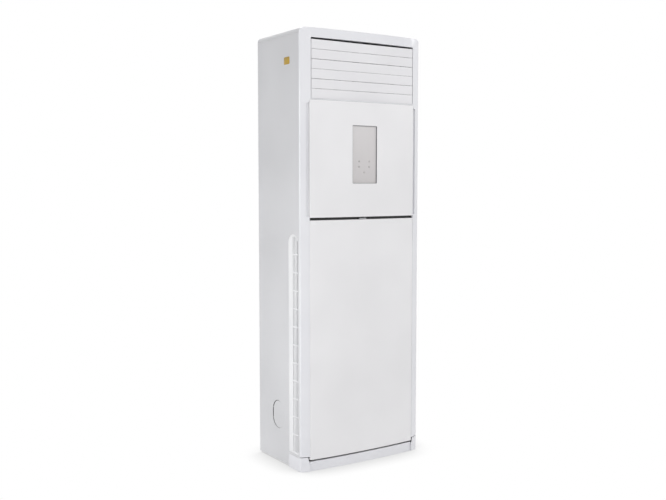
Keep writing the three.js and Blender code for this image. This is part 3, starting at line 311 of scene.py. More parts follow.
def finishPiece(piece, body, surface, bevel=0.0, segments=3, replaced=(), angle=32):
    # rounds the piece's edges, gives it its finish and hangs it on its body
    for face in piece.data.polygons:
        face.use_smooth = True
    if bevel:
        edge = piece.modifiers.new("roundedEdges", "BEVEL")
        edge.width = bevel * mm
        edge.segments = segments
        edge.limit_method = "ANGLE"
        edge.angle_limit = math.radians(angle)
        edge.miter_outer = "MITER_ARC"
        edge.use_clamp_overlap = True
        even = piece.modifiers.new("evenShading", "WEIGHTED_NORMAL")
        even.keep_sharp = True
        even.weight = 60
    piece.data.materials.clear()
    piece.data.materials.append(finish[surface])
    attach(piece, body)
    if replaced:
        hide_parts(*replaced)
    return piece


def pieceFrom(name, bm):
    # points that fall together within half a micrometre are joined
    bmesh.ops.remove_doubles(bm, verts=bm.verts, dist=0.0005 * mm)
    bmesh.ops.recalc_face_normals(bm, faces=bm.faces)
    mesh = bpy.data.meshes.new(name)
    bm.to_mesh(mesh)
    bm.free()
    piece = bpy.data.objects.new(name, mesh)
    bpy.context.scene.collection.objects.link(piece)
    return piece


def rectangle(u0, u1, v0, v1):
    return [(u0, v0), (u1, v0), (u1, v1), (u0, v1)]


def roundedRectangle(u0, u1, v0, v1, radius, steps=5):
    points = []
    for cu, cv, start in ((u1 - radius, v0 + radius, -90), (u1 - radius, v1 - radius, 0),
                          (u0 + radius, v1 - radius, 90), (u0 + radius, v0 + radius, 180)):
        for step in range(steps + 1):
            turn = math.radians(start + 90 * step / steps)
            points.append((cu + radius * math.cos(turn), cv + radius * math.sin(turn)))
    return points


def obround(u, v, width, length, steps=10):
    radius, points = width / 2, []
    for centre, start in ((v + (length - width) / 2, 0), (v - (length - width) / 2, 180)):
        for step in range(steps + 1):
            turn = math.radians(start + 180 * step / steps)
            points.append((u + radius * math.cos(turn), centre + radius * math.sin(turn)))
    return points


def circle(u, v, radius, steps=20):
    return [(u + radius * math.cos(2 * math.pi * i / steps), v + radius * math.sin(2 * math.pi * i / steps))
            for i in range(steps)]


def addRelief(bm, place, outline, front=0.0, back=3.0, fronts=(), backs=(), holes=(), cuts=()):
    # A wall drawn flat at (u, v) and laid on its surface by place(u, v, depth). fronts and backs are
    # (loop, depth) areas whose face or rear lies at another depth, and holes are openings. Later ones win.
    # The wall is cut into upright strips at each u in cuts, so that it can follow a curved surface.
    loops = [outline] + [loop for loop, _ in fronts] + [loop for loop, _ in backs] + list(holes)
    us, vs = [p[0] for p in outline], [p[1] for p in outline]
    marks = [min(us) - 1] + [c for c in sorted(cuts) if min(us) < c < max(us)] + [max(us) + 1]
    loops += [rectangle(a, b, min(vs) - 2, max(vs) + 2) for a, b in zip(marks, marks[1:])]
    # the loop round them all takes part in how the wall is split into faces
    loops.append(rectangle(min(us) - 2, max(us) + 2, min(vs) - 1, max(vs) + 1))
    points, faces = [], []
    for loop in loops:
        area = sum(a[0] * b[1] - b[0] * a[1] for a, b in zip(loop, loop[1:] + loop[:1]))
        loop = loop if area > 0 else loop[::-1]
        faces.append(list(range(len(points), len(points) + len(loop))))
        points.extend(Vector(p) for p in loop)
    spots, _, areas, _, _, origins = delaunay_2d_cdt(points, [], faces, 4, 1e-4, True)
    lastFront, lastBack = len(fronts), len(fronts) + len(backs)
    kept, corners, sides = {}, {}, {}
    for index, origin in enumerate(origins):
        if 0 not in origin or any(lastBack < i <= lastBack + len(holes) for i in origin):
            continue
        ahead = [i for i in origin if 0 < i <= lastFront]
        behind = [i for i in origin if lastFront < i <= lastBack]
        kept[index] = (fronts[max(ahead) - 1][1] if ahead else front,
                       backs[max(behind) - lastFront - 1][1] if behind else back)

    def corner(spot, depth):
        if (spot, depth) not in corners:
            corners[spot, depth] = bm.verts.new(Vector(place(*spots[spot], depth)) * mm)
        return corners[spot, depth]

    def addFace(*verts):
        distinct = list(dict.fromkeys(verts))
        if len(distinct) > 2:
            bm.faces.new(distinct)

    for index, (ahead, behind) in kept.items():
        area = areas[index]
        addFace(*[corner(i, ahead) for i in area])
        addFace(*[corner(i, behind) for i in area[::-1]])
        for a, b in zip(area, area[1:] + area[:1]):
            sides.setdefault((min(a, b), max(a, b)), []).append((ahead, behind))
    for (a, b), depths in sides.items():
        spans = [depths[0]] if len(depths) == 1 else [
            pair for pair in zip(*depths) if pair[0] != pair[1]]
        for high, low in spans:
            addFace(corner(a, high), corner(b, high), corner(b, low), corner(a, low))


# the front: a crowned face between two slanted corner columns

front = {
    "half": 293.0, "cornerY": -155.0, "edgeY": -170.0, "crownHalf": 250.0, "crown": 10.0,
    "edgeRadius": 8.0, "returnY": -149.0, "top": 1750.0, "topRadius": 18.0, "wall": 3.0,
    "crownSteps": 20, "roundSteps": 6, "roundRun": 10.0, "returnRun": 0.4, "wallRun": 3.3,
}
facetAngle = math.atan2(front["cornerY"] - front["edgeY"], front["half"] - front["crownHalf"])


def columnTurn(depth):
    # where the slanted face starts to round into the side, that many millimetres under the surface
    reach = max(front["edgeRadius"] - depth, 1) * math.tan((math.pi / 2 - facetAngle) / 2)
    return (front["half"] - depth - reach * math.cos(facetAngle),
            front["cornerY"] + depth - reach * math.sin(facetAngle), reach)


# distances along the front from its middle: to the slanted face's end, round the edge, and back
# along the side; insideEnd is where the face is one wall in from the side
facetEnd = columnTurn(0)[0]
curveEnd = facetEnd + front["roundRun"]
returnEnd = curveEnd + front["returnRun"]
insideEnd = facetEnd + front["wallRun"]


def frontPoint(u, depth):
    a = abs(u)
    turnX, turnY, reach = columnTurn(depth)
    if a <= front["crownHalf"]:
        x = a
        y = front["edgeY"] + depth - front["crown"] * (1 - (a / front["crownHalf"]) ** 2)
    elif a <= facetEnd:
        share = (a - front["crownHalf"]) / (facetEnd - front["crownHalf"])
        x = front["crownHalf"] + share * (turnX - front["crownHalf"])
        y = front["edgeY"] + depth + share * (turnY - front["edgeY"] - depth)
    elif a <= curveEnd:
        t = (a - facetEnd) / (curveEnd - facetEnd)
        tipX, tipY = front["half"] - depth, front["cornerY"] + depth
        x = (1 - t) ** 2 * turnX + 2 * t * (1 - t) * tipX + t * t * tipX
        y = (1 - t) ** 2 * turnY + 2 * t * (1 - t) * tipY + t * t * (tipY + reach)
    else:
        share = min((a - curveEnd) / (returnEnd - curveEnd), 1)
        x = front["half"] - depth
        y = front["cornerY"] + depth + reach
        y += share * (front["returnY"] - y)
    return math.copysign(x, u), y


def frontPlace(u, v, depth):
    # a depth given as a tuple is a plane that far along y, straight behind the face
    if isinstance(depth, tuple):
        return frontPoint(u, 0)[0], depth[0], v
    x, y = frontPoint(u, depth)
    return x, y, v


crownSteps, roundSteps = front["crownSteps"], front["roundSteps"]
crownCuts = [front["crownHalf"] * i / crownSteps for i in range(-crownSteps, crownSteps + 1)]
columnCuts = [facetEnd + (curveEnd - facetEnd) * i / roundSteps for i in range(roundSteps + 1)]
frontCuts = crownCuts + columnCuts + [-c for c in columnCuts]


def topEdge(u, inset):
    # height of the cabinet's rounded top at that place on the front
    radius = front["topRadius"] - inset
    out = abs(frontPoint(u, 0)[0]) - (front["half"] - front["topRadius"])
    if out <= 0:
        return front["top"] - inset
    return front["top"] - front["topRadius"] + math.sqrt(max(radius ** 2 - out ** 2, 0))


# front frame

frameSizes = {
    "bottom": 60.3, "outletHalf": 250.0, "outletBottom": 1478.0, "outletTop": 1713.0, "outletRadius": 4.0,
    "rimY": -154.0, "doorHalf": 255.3, "doorTop": 1475.0, "channelEnd": 268.3, "channelDepth": 7.5,
    "channelBottom": 1020.0, "channelTop": 1466.0, "channelSlant": 8.0, "edge": 0.9,
    "topArcFrom": 274.0, "topArcCuts": (270.0, 278.0, 282.0),
}


def buildFrontFrame():
    s, wall = frameSizes, front["wall"]
    # the rounded top corners are drawn through these places along the front
    uTop = [c for c in frontCuts + [-returnEnd, returnEnd] if abs(c) > s["topArcFrom"]]
    uTop = sorted(uTop + [side * u for u in s["topArcCuts"] for side in (-1, 1)])
    bodyLine = [(-returnEnd, s["bottom"]), (returnEnd, s["bottom"])]
    outline = bodyLine + [(u, topEdge(u, 0)) for u in reversed(uTop)]
    inner, hair = insideEnd, 0.01
    innerTop = sorted(u for u in uTop if abs(u) < inner) + [inner - hair]
    innerLine = [(-inner, s["bottom"] - 1), (inner, s["bottom"] - 1)] + [
        (u, topEdge(u, wall)) for u in reversed([-inner + hair] + innerTop)]
    plane, rim = (front["returnY"],), (s["rimY"],)

    def channel(side, grow):
        near, far = side * (s["doorHalf"] - 2), side * (s["channelEnd"] + grow)
        return [(near, s["channelBottom"] - grow), (far, s["channelBottom"] - grow),
                (far, s["channelTop"] + grow - s["channelSlant"]), (near, s["channelTop"] + grow)]

    outlet = (-s["outletHalf"], s["outletHalf"], s["outletBottom"], s["outletTop"])
    backs = [(innerLine, wall)]
    fronts = []
    for side in (-1, 1):
        backs.append((channel(side, wall), s["channelDepth"] + wall))
        fronts.append((channel(side, 0), s["channelDepth"]))
    for side in (-1, 1):
        flange = sorted((side * (s["doorHalf"] - 1), side * (s["doorHalf"] + wall)))
        backs.append((rectangle(*flange, s["bottom"] - 1, s["doorTop"]), plane))
    grown = roundedRectangle(outlet[0] - wall, outlet[1] + wall, outlet[2] - wall, outlet[3] + wall,
                             s["outletRadius"] + wall)
    backs.append((grown, rim))
    holes = [roundedRectangle(*outlet, s["outletRadius"]),
             rectangle(-s["doorHalf"], s["doorHalf"], s["bottom"] - 5, s["doorTop"])]
    bm = bmesh.new()
    addRelief(bm, frontPlace, outline, 0.0, plane, fronts, backs, holes, frontCuts)
    return finishPiece(pieceFrom("frontFrameShell", bm), "cabinet", "frontGloss",
                       s["edge"], 3, ["front_frame"])


buildFrontFrame()
print("front frame built")


# front panels, window and keys

panelSizes = {
    "half": 254.7, "upperBottom": 1015.0, "upperTop": 1474.4, "lowerBottom": 47.0, "lowerTop": 1004.0,
    "rimY": -158.0, "wall": 3.0, "windowHalf": 60.0, "windowBottom": 1149.0, "windowTop": 1381.0,
    "windowRadius": 4.0, "sleeve": 3.0, "sleeveRadius": 6.0, "sleeveY": -172.0, "edge": 1.1,
    "pivotRadius": 2.5, "pivot": (-163.0, 51.0), "pivotRoot": 1.0, "pivotReach": 2.1,
    "ribs": (240, 430, 620, 810), "ribHalf": 235, "ribHalfWidth": 1, "ribDepth": 8.0,
}


def addRod(bm, radius, start, end, centre, sides=16):
    # a round pin along x; centre is its place along y and z
    rings = [[bm.verts.new(Vector((along, y, z)) * mm) for y, z in circle(*centre, radius, sides)]
             for along in (start, end)]
    for i in range(sides):
        j = (i + 1) % sides
        bm.faces.new((rings[0][i], rings[0][j], rings[1][j], rings[1][i]))
    bm.faces.new(rings[0][::-1])
    bm.faces.new(rings[1])


def buildPanels():
    s = panelSizes
    wall, rim = s["wall"], (s["rimY"],)
    bm = bmesh.new()
    outline = rectangle(-s["half"], s["half"], s["upperBottom"], s["upperTop"])
    inner = rectangle(wall - s["half"], s["half"] - wall, s["upperBottom"] + wall, s["upperTop"] - wall)
    window = (-s["windowHalf"], s["windowHalf"], s["windowBottom"], s["windowTop"])
    grown = [w + d * s["sleeve"] for w, d in zip(window, (-1, 1, -1, 1))]
    backs = [(inner, wall), (roundedRectangle(*grown, s["sleeveRadius"]), (s["sleeveY"],))]
    addRelief(bm, frontPlace, outline, 0.0, rim, (), backs,
              [roundedRectangle(*window, s["windowRadius"])], crownCuts)
    finishPiece(pieceFrom("upperDisplayPanel", bm), "cabinet", "panelSatin",
                s["edge"], 3, ["upper_display_panel"])

    bm = bmesh.new()
    outline = rectangle(-s["half"], s["half"], s["lowerBottom"], s["lowerTop"])
    inner = rectangle(wall - s["half"], s["half"] - wall, s["lowerBottom"] + wall, s["lowerTop"] - wall)
    ribs = [rectangle(-s["ribHalf"], s["ribHalf"], z - s["ribHalfWidth"], z + s["ribHalfWidth"])
            for z in s["ribs"]]
    backs = [(inner, wall)] + [(rib, s["ribDepth"]) for rib in ribs]
    addRelief(bm, frontPlace, outline, 0.0, rim, (), backs, (), crownCuts)
    for side in (-1, 1):
        ends = sorted((side * (s["half"] - s["pivotRoot"]), side * (s["half"] + s["pivotReach"])))
        addRod(bm, s["pivotRadius"], *ends, s["pivot"])
    finishPiece(pieceFrom("lowerTiltPanel", bm), "lower_panel", "panelSatin",
                s["edge"], 3, ["lower_front_panel"])


windowSizes = {
    "half": 59.7, "bottom": 1149.3, "top": 1380.7, "radius": 4.0, "frontY": -175.0, "thickness": 3.0,
    "edge": 0.35, "keyRadius": 4.2, "keyGap": 0.3, "keyProud": 0.6, "keySteps": 28,
    "flangeRadius": 5.6, "flangeFront": -171.7, "flangeBack": -170.7, "markDepth": 0.12, "markProud": 0.03,
    "opening": 59.9, "sealShadeGrow": 0.2, "sealShadeWidth": 1.1, "sealShadeDepth": 3.8, "sealShadeEdge": 0.2,
}
keyPlaces = {
    "mode": (-25, 1238), "fan": (25, 1238), "up": (-25, 1216), "down": (25, 1216), "power": (0, 1194),
}
keyMarks = {
    # small generic marks: a square, three bars, up and down arrows, and a bar within a ring
    "mode": [[(-1.7, -1.7), (1.7, -1.7), (1.7, 1.7), (-1.7, 1.7)]],
    "fan": [[(-2, v - 0.35), (2, v - 0.35), (2, v + 0.35), (-2, v + 0.35)] for v in (-1.4, 0, 1.4)],
    "up": [[(-2.1, -1.5), (2.1, -1.5), (0, 2.1)]],
    "down": [[(-2.1, 1.5), (0, -2.1), (2.1, 1.5)]],
    "power": [[(-0.4, 0.4), (0.4, 0.4), (0.4, 2.6), (-0.4, 2.6)]],
}
ringSizes = {"outer": 2.3, "inner": 1.6, "gap": (-1.0, 1.0, 0.5, 3)}


def windowPlace(u, v, depth):
    return u, windowSizes["frontY"] + depth, v


def buildWindow():
    s = windowSizes
    bm = bmesh.new()
    outline = roundedRectangle(-s["half"], s["half"], s["bottom"], s["top"], s["radius"])
    holes = [circle(x, z, s["keyRadius"] + s["keyGap"]) for x, z in keyPlaces.values()]
    addRelief(bm, windowPlace, outline, 0.0, s["thickness"], (), (), holes)
    finishPiece(pieceFrom("windowLens", bm), "cabinet", "windowAcrylic", s["edge"], 2,
                ["display_window"])
    # a grey seal lines the opening's walls; its grey also stands in as painted shade, so the window has a
    # dark edge where its recess is seen
    bm = bmesh.new()
    rings = [roundedRectangle(inset - s["opening"], s["opening"] - inset,
                              s["bottom"] - s["sealShadeGrow"] + inset, s["top"] + s["sealShadeGrow"] - inset,
                              s["radius"] - inset) for inset in (0, s["sealShadeWidth"])]
    addRelief(bm, windowPlace, rings[0], -s["sealShadeDepth"], 0.0, (), (), rings[1:])
    finishPiece(pieceFrom("windowSealAndRecessShade", bm), "cabinet", "sealGreyAndRecessShade", s["sealShadeEdge"], 2)
    for name, (x, z) in keyPlaces.items():
        body = "key_" + name
        radius, face = s["keyRadius"], s["frontY"] - s["keyProud"]
        # a stem with a softly domed top and a flange behind the window
        profile = [(0.0, face), (radius - 1.3, face + 0.02), (radius - 0.5, face + 0.12),
                   (radius, face + 0.6), (radius, s["flangeFront"]), (s["flangeRadius"], s["flangeFront"]),
                   (s["flangeRadius"], s["flangeBack"]), (0.0, s["flangeBack"])]
        bm = bmesh.new()
        addTurned(bm, profile, (x, z), s["keySteps"])
        finishPiece(pieceFrom(f"{name}KeyCap", bm), body, "keycap", 0, 1, [body])
        bm = bmesh.new()

        def markPlace(u, v, depth):
            return x + u, face - s["markProud"] + depth, z + v

        for loop in keyMarks[name]:
            addRelief(bm, markPlace, loop, 0.0, s["markDepth"])
        if name == "power":
            inner = circle(0, 0, ringSizes["inner"], s["keySteps"])
            addRelief(bm, markPlace, circle(0, 0, ringSizes["outer"], s["keySteps"]), 0.0, s["markDepth"],
                      (), (), [inner, rectangle(*ringSizes["gap"])])
        finishPiece(pieceFrom(f"{name}KeyMark", bm), body, "keyMark")


def addTurned(bm, profile, centre, steps=32, axis="y"):
    # a body of revolution: profile is (radius, distance along the axis), centre in the two other directions
    rings = []
    for radius, along in profile:
        if radius <= 0:
            spots = [(centre[0], along, centre[1]) if axis == "y" else (centre[0], centre[1], along)]
        else:
            spots = [(p, along, q) if axis == "y" else (p, q, along)
                     for p, q in circle(centre[0], centre[1], radius, steps)]
        rings.append([bm.verts.new(Vector(p) * mm) for p in spots])
    for first, second in zip(rings, rings[1:]):
        count = max(len(first), len(second))
        for i in range(count):
            j = (i + 1) % count
            corners = [first[i % len(first)], first[j % len(first)], second[j % len(second)],
                       second[i % len(second)]]
            distinct = list(dict.fromkeys(corners))
            if len(distinct) > 2:
                bm.faces.new(distinct)


railSizes = {
    "half": 255.0, "frontY": -157.7, "thickness": 4.0, "bottom": 984.5, "top": 1034.5, "edge": 0.5,
    "grooves": (991, 1028), "grooveInset": 3, "grooveHalfWidth": 0.6, "grooveDepth": 0.8,
}
catchSizes = {"half": 17.0, "bottom": 1004.9, "top": 1010.4, "frontY": -167.0, "backY": -158.0, "edge": 0.4}


def buildRailAndCatch():
    s = railSizes
    bm = bmesh.new()
    groove = s["half"] - s["grooveInset"]
    grooves = [(rectangle(-groove, groove, z - s["grooveHalfWidth"], z + s["grooveHalfWidth"]),
                s["grooveDepth"]) for z in s["grooves"]]
    addRelief(bm, lambda u, v, depth: (u, s["frontY"] + depth, v),
              rectangle(-s["half"], s["half"], s["bottom"], s["top"]), 0.0, s["thickness"], grooves)
    finishPiece(pieceFrom("shadowRail", bm), "cabinet", "blackAbs", s["edge"], 2,
                ["mid_rail"])
    # the catch seen from its end: a flat bar whose front is bevelled for a fingertip
    c = catchSizes
    section = [(c["frontY"], c["bottom"] + 1), (c["frontY"] + 1, c["bottom"]), (c["backY"], c["bottom"]),
               (c["backY"], c["top"]), (c["frontY"] + 2.5, c["top"]), (c["frontY"] + 0.7, c["top"] - 1.0),
               (c["frontY"], c["top"] - 2.5)]
    bm = bmesh.new()
    addRelief(bm, lambda u, v, depth: (depth - c["half"], u, v), section, 0.0, 2 * c["half"])
    finishPiece(pieceFrom("panelCatchTongue", bm), "catch", "catchSteel", c["edge"], 2,
                ["panel_catch"])


# louvre blades

bladeSizes = {
    "first": 1498.0, "pitch": 38.0, "pivotY": -160.0, "half": 247.7, "height": 36.7, "faceDepth": 10.0,
    "thickness": 3.5, "bow": 0.5, "edge": 0.25, "count": 6,
    "pin": 2.4, "pinEnd": 254, "pinRoot": 1.5, "earWidth": 3, "earInset": 0.05,
    "ear": ((-8.25, -4), (2.0, -4), (4.0, -2), (4.0, 2), (2.0, 4), (-8.25, 4)),
    "crankX": 254.2, "crankWidth": 2.5, "crankHalf": 3.4, "crankRadius": 3.0, "crankTip": 2.6, "reach": 9.0,
    "linkPin": 1.6, "linkPinRoot": 1.2, "linkPinEnd": 260.4,
    # how much each blade is taller than the rest at its top and bottom, from the lowest blade up
    "upperTrim": (0.5, 0.3, 0.75, 0.0, 0.5, 0.0), "lowerTrim": (1.0, 0.0, 0.0, 0.0, 0.0, 0.0),
}


def bladeSection(index):
    # seen from the end: a gently bowed face with rounded long edges. The trims give each gap its own width,
    # as on the real louvre.
    s = bladeSizes
    face, back = -s["faceDepth"], s["thickness"] - s["faceDepth"]
    high = s["height"] / 2 + s["upperTrim"][index]
    low = -s["height"] / 2 - s["lowerTrim"][index]
    edge = face + s["bow"]
    section = []
    for step in range(-8, 9):
        share = step / 8
        z = share * (high - 1.2 if share > 0 else -low - 1.2)
        section.append((face + s["bow"] * share ** 2, z))
    section += [(edge + 0.45, high - 0.3), (edge + 1.3, high), (back - 0.6, high), (back, high - 0.6),
                (back, low + 0.6), (back - 0.6, low), (edge + 1.3, low), (edge + 0.45, low + 0.3)]
    return section


def buildBlade(index):
    s = bladeSizes
    pivotY, pivotZ = s["pivotY"], s["first"] + s["pitch"] * index
    bm = bmesh.new()

    def slab(loop, start, width):
        addRelief(bm, lambda u, v, depth: (start + depth, pivotY + u, pivotZ + v), loop, 0.0, width)

    slab(bladeSection(index), -s["half"], 2 * s["half"])
    ear, width, inset = list(s["ear"]), s["earWidth"], s["earInset"]
    slab(ear, inset - s["half"], width)
    slab(ear, s["half"] - (width + inset), width)
    # a pin at each end, then the crank with the pin that the link bar turns on
    crankMiddle = s["crankX"] + s["linkPinRoot"]
    addRod(bm, s["pin"], -s["pinEnd"], s["pinRoot"] - s["half"], (pivotY, pivotZ))
    addRod(bm, s["pin"], s["half"] - s["pinRoot"], crankMiddle, (pivotY, pivotZ))
    slab(roundedRectangle(-s["crankHalf"], s["reach"] + s["crankTip"], -s["crankHalf"], s["crankHalf"],
                          s["crankRadius"]), s["crankX"], s["crankWidth"])
    addRod(bm, s["linkPin"], crankMiddle, s["linkPinEnd"], (pivotY + s["reach"], pivotZ), 12)
    finishPiece(pieceFrom(f"louvreBlade{index + 1}", bm), f"blade_{index + 1}", "bladeSatin",
                s["edge"], 2, [f"louvre_blade_{index + 1}"], 40)


buildPanels()
buildWindow()
buildRailAndCatch()
for bladeIndex in range(bladeSizes["count"]):
    buildBlade(bladeIndex)
print("panels, window, keys and blades built")


# sheet steel casing

casing = {
    "half": 293.0, "frontY": -148.7, "backY": 180.0, "bottom": 6.0, "top": 1729.7, "seat": 0.2, "sheet": 1.2,
    "flankY": -64.7, "flankTop": 56.3, "edge": 0.3, "intake": (-142.0, -67.0, 66.0, 950.0), "archSteps": 16,
    "knockoutPlate": (17.1, 199.0, 86.0, 113.0), "knockoutHole": (20.2, 199.0, 93.0, 116.0),
    "roundSteps": 14,
}
screwSizes = {
    "head": 3.8, "headHeight": 1.1, "headSteps": 24, "recess": 0.3, "seat": 0.05, "edge": 0.25,
    "dimple": 5.6, "dimpleDepth": 1.5, "dimpleSteps": 20, "x": (-281.0, 281.0),
    "heights": (70.0, 620.0, 1170.0, 1680.0),
}


def sidePlace(side):
    # u runs along y, v is the height, and the surface is just under the cabinet's full width
    return lambda u, v, depth: (side * (casing["half"] - depth), u, v)


def backPlace(u, v, depth):
    return u, casing["backY"] - depth, v


def intakeLoop(inset):
    # the side intake's outline: square at its foot, arched at its top
    y0, y1, z0, z1 = casing["intake"]
    y0, y1, z0, z1 = y0 + inset, y1 - inset, z0 + inset, z1 - inset
    radius, steps = (y1 - y0) / 2, casing["archSteps"]
    arch = [((y0 + y1) / 2 + radius * math.cos(math.pi * i / steps), z1 - radius + radius *
             math.sin(math.pi * i / steps)) for i in range(steps + 1)]
    return [(y0, z0), (y1, z0)] + arch


def addScrew(bm, place, u, v):
    # a low pan head with a cross recess, sitting in its dimple
    w = screwSizes
    cross = [(-0.5, -2.2), (0.5, -2.2), (0.5, -0.5), (2.2, -0.5), (2.2, 0.5), (0.5, 0.5),
             (0.5, 2.2), (-0.5, 2.2), (-0.5, 0.5), (-2.2, 0.5), (-2.2, -0.5), (-0.5, -0.5)]
    head = circle(u, v, w["head"], w["headSteps"])
    recess = [(u + a, v + b) for a, b in cross]
    addRelief(bm, place, head, w["dimpleDepth"] - w["headHeight"], w["dimpleDepth"] - w["seat"],
              [(recess, w["dimpleDepth"] - w["recess"])])


def buildSide(side):
    s = casing
    name = "left" if side < 0 else "right"
    outline = [(s["flankY"], s["bottom"]), (s["backY"], s["bottom"]), (s["backY"], s["top"]),
               (s["frontY"], s["top"]), (s["frontY"], s["flankTop"]), (s["flankY"], s["flankTop"])]
    holes = [intakeLoop(0)]
    if side < 0:
        holes.append(obround(*s["knockoutHole"], s["roundSteps"]))
    bm = bmesh.new()
    addRelief(bm, sidePlace(side), outline, s["seat"], s["sheet"], (), (), holes)
    finishPiece(pieceFrom(name + "SideSheet", bm), "cabinet", "whiteSteel", s["edge"], 2,
                [name + "_side_panel"])


knockoutSizes = {
    "bridges": (-22, 22), "bridgeHalf": 1.5, "bridgeSheet": 0.8, "bridgeOverlap": (1, 0.5),
    "foamShadeGrow": (14, 12), "foamShadeHole": 12, "foamShadeDepth": (1.0, 4), "foamShadeEdge": 0.4,
}


def buildKnockout():
    # the plate sits forward in its hole, so the slit is widest at the rear, over a dark foamed rubber seal
    # that stands in as painted shade inside the slit
    s, k = casing, knockoutSizes
    y, z, width, length = s["knockoutPlate"]
    holeY, _, holeWidth, _ = s["knockoutHole"]
    bm = bmesh.new()
    addRelief(bm, sidePlace(-1), obround(y, z, width, length, s["roundSteps"]), s["seat"], s["sheet"])
    # the bridges that hold the plate until it is knocked out
    near, far = y + width / 2 - k["bridgeOverlap"][0], holeY + holeWidth / 2 + k["bridgeOverlap"][1]
    for height in (z + off for off in k["bridges"]):
        bridge = rectangle(near, far, height - k["bridgeHalf"], height + k["bridgeHalf"])
        addRelief(bm, sidePlace(-1), bridge, s["sheet"], s["sheet"] + k["bridgeSheet"])
    finishPiece(pieceFrom("pipeKnockoutPlate", bm), "cabinet", "whiteSteel", s["edge"], 2,
                ["pipe_knockout"])
    # the dark ring behind the slit is painted shade as well as a seal
    bm = bmesh.new()
    foamAndSlitShade = obround(y, z, width + k["foamShadeGrow"][0], length + k["foamShadeGrow"][1], s["roundSteps"])
    middle = obround(y, z, width - k["foamShadeHole"], length - k["foamShadeHole"], s["roundSteps"])
    addRelief(bm, sidePlace(-1), foamAndSlitShade, *[s["sheet"] + depth for depth in k["foamShadeDepth"]], (), (), [middle])
    finishPiece(pieceFrom("knockoutSealAndSlitShade", bm), "cabinet", "rubber", k["foamShadeEdge"], 2)


backSizes = {
    "half": 291.5, "beads": (330.0, 640.0, 950.0, 1260.0, 1570.0), "beadHalf": 215.0, "beadHeight": 14.0,
    "beadDepth": 1.8, "beadSteps": 8, "beadSquare": 0.1,
    "pipeDoor": (-190.0, 190.0, 90.0, 130.0), "doorSlit": 2, "slitDepth": 0.7,
}


def buildBack():
    # one sheet with pressed in beads, a scored pipe door and a dimple for each screw
    s, b, w = casing, backSizes, screwSizes
    outline = rectangle(-b["half"], b["half"], s["bottom"], s["top"])
    sheet = s["sheet"]
    fronts, backs = [], []
    for z in b["beads"]:
        for areas, grow in ((fronts, 0), (backs, sheet)):
            halfX, halfZ = b["beadHalf"] + grow, b["beadHeight"] / 2 + grow
            areas.append((roundedRectangle(-halfX, halfX, z - halfZ, z + halfZ, halfZ - b["beadSquare"],
                                           b["beadSteps"]), b["beadDepth"] + grow))
    x, z, width, length = b["pipeDoor"]
    slit = obround(x, z, width + b["doorSlit"], length + b["doorSlit"], s["roundSteps"])
    fronts += [(slit, b["slitDepth"]), (obround(x, z, width, length, s["roundSteps"]), 0.0)]
    spots = [(sx, height) for sx in w["x"] for height in w["heights"]]
    for sx, height in spots:
        fronts.append((circle(sx, height, w["dimple"], w["dimpleSteps"]), w["dimpleDepth"]))
        backs.append((circle(sx, height, w["dimple"] + sheet, w["dimpleSteps"]), w["dimpleDepth"] + 1.0))
    bm = bmesh.new()
    addRelief(bm, backPlace, outline, 0.0, s["sheet"], fronts, backs)
    finishPiece(pieceFrom("rearSheet", bm), "cabinet", "whiteSteel", s["edge"], 2,
                ["back_panel"])
    bm = bmesh.new()
    for sx, height in spots:
        addScrew(bm, backPlace, sx, height)
    finishPiece(pieceFrom("rearScrews", bm), "cabinet", "screwZinc", w["edge"], 2)


topSizes = {"bottom": 1730.0, "top": 1750.0, "radius": 18.0, "wall": 2.0, "edge": 0.7, "steps": 12}


def buildTop():
    # a folded and drawn lid: rounded along both sides, closed at the back
    s, t = casing, topSizes
    section = [(-s["half"], t["bottom"])]
    for centre, start in ((t["radius"] - s["half"], 180), (s["half"] - t["radius"], 90)):
        for step in range(t["steps"] + 1):
            turn = math.radians(start - 90 * step / t["steps"])
            section.append((centre + t["radius"] * math.cos(turn),
                            t["top"] - t["radius"] + t["radius"] * math.sin(turn)))
    section.append((s["half"], t["bottom"]))
    bm = bmesh.new()
    near = [bm.verts.new(Vector((x, s["frontY"], z)) * mm) for x, z in section]
    far = [bm.verts.new(Vector((x, s["backY"], z)) * mm) for x, z in section]
    for i in range(len(section) - 1):
        bm.faces.new((near[i], near[i + 1], far[i + 1], far[i]))
    bm.faces.new(far)
    lid = pieceFrom("topLid", bm)
    outward = sum(p.normal.z * p.area for p in lid.data.polygons)
    if outward < 0:
        lid.data.flip_normals()
    wall = lid.modifiers.new("sheetThickness", "SOLIDIFY")
    wall.thickness, wall.offset, wall.use_even_offset = t["wall"] * mm, -1.0, True
    finishPiece(lid, "cabinet", "whiteSteel", t["edge"], 3, ["top_cover"])


# moulded base, intake grilles, filters and feet

plinthSizes = {
    "height": 57.7, "blockInner": 255.3, "notch": (8.0, 20.0), "middleHeight": 39.0, "recess": 6.0,
    "wall": 3.0, "backY": -145.3, "flankY": -65.0, "flankTop": 56.0, "flankSheet": 1.2, "edge": 0.8,
}


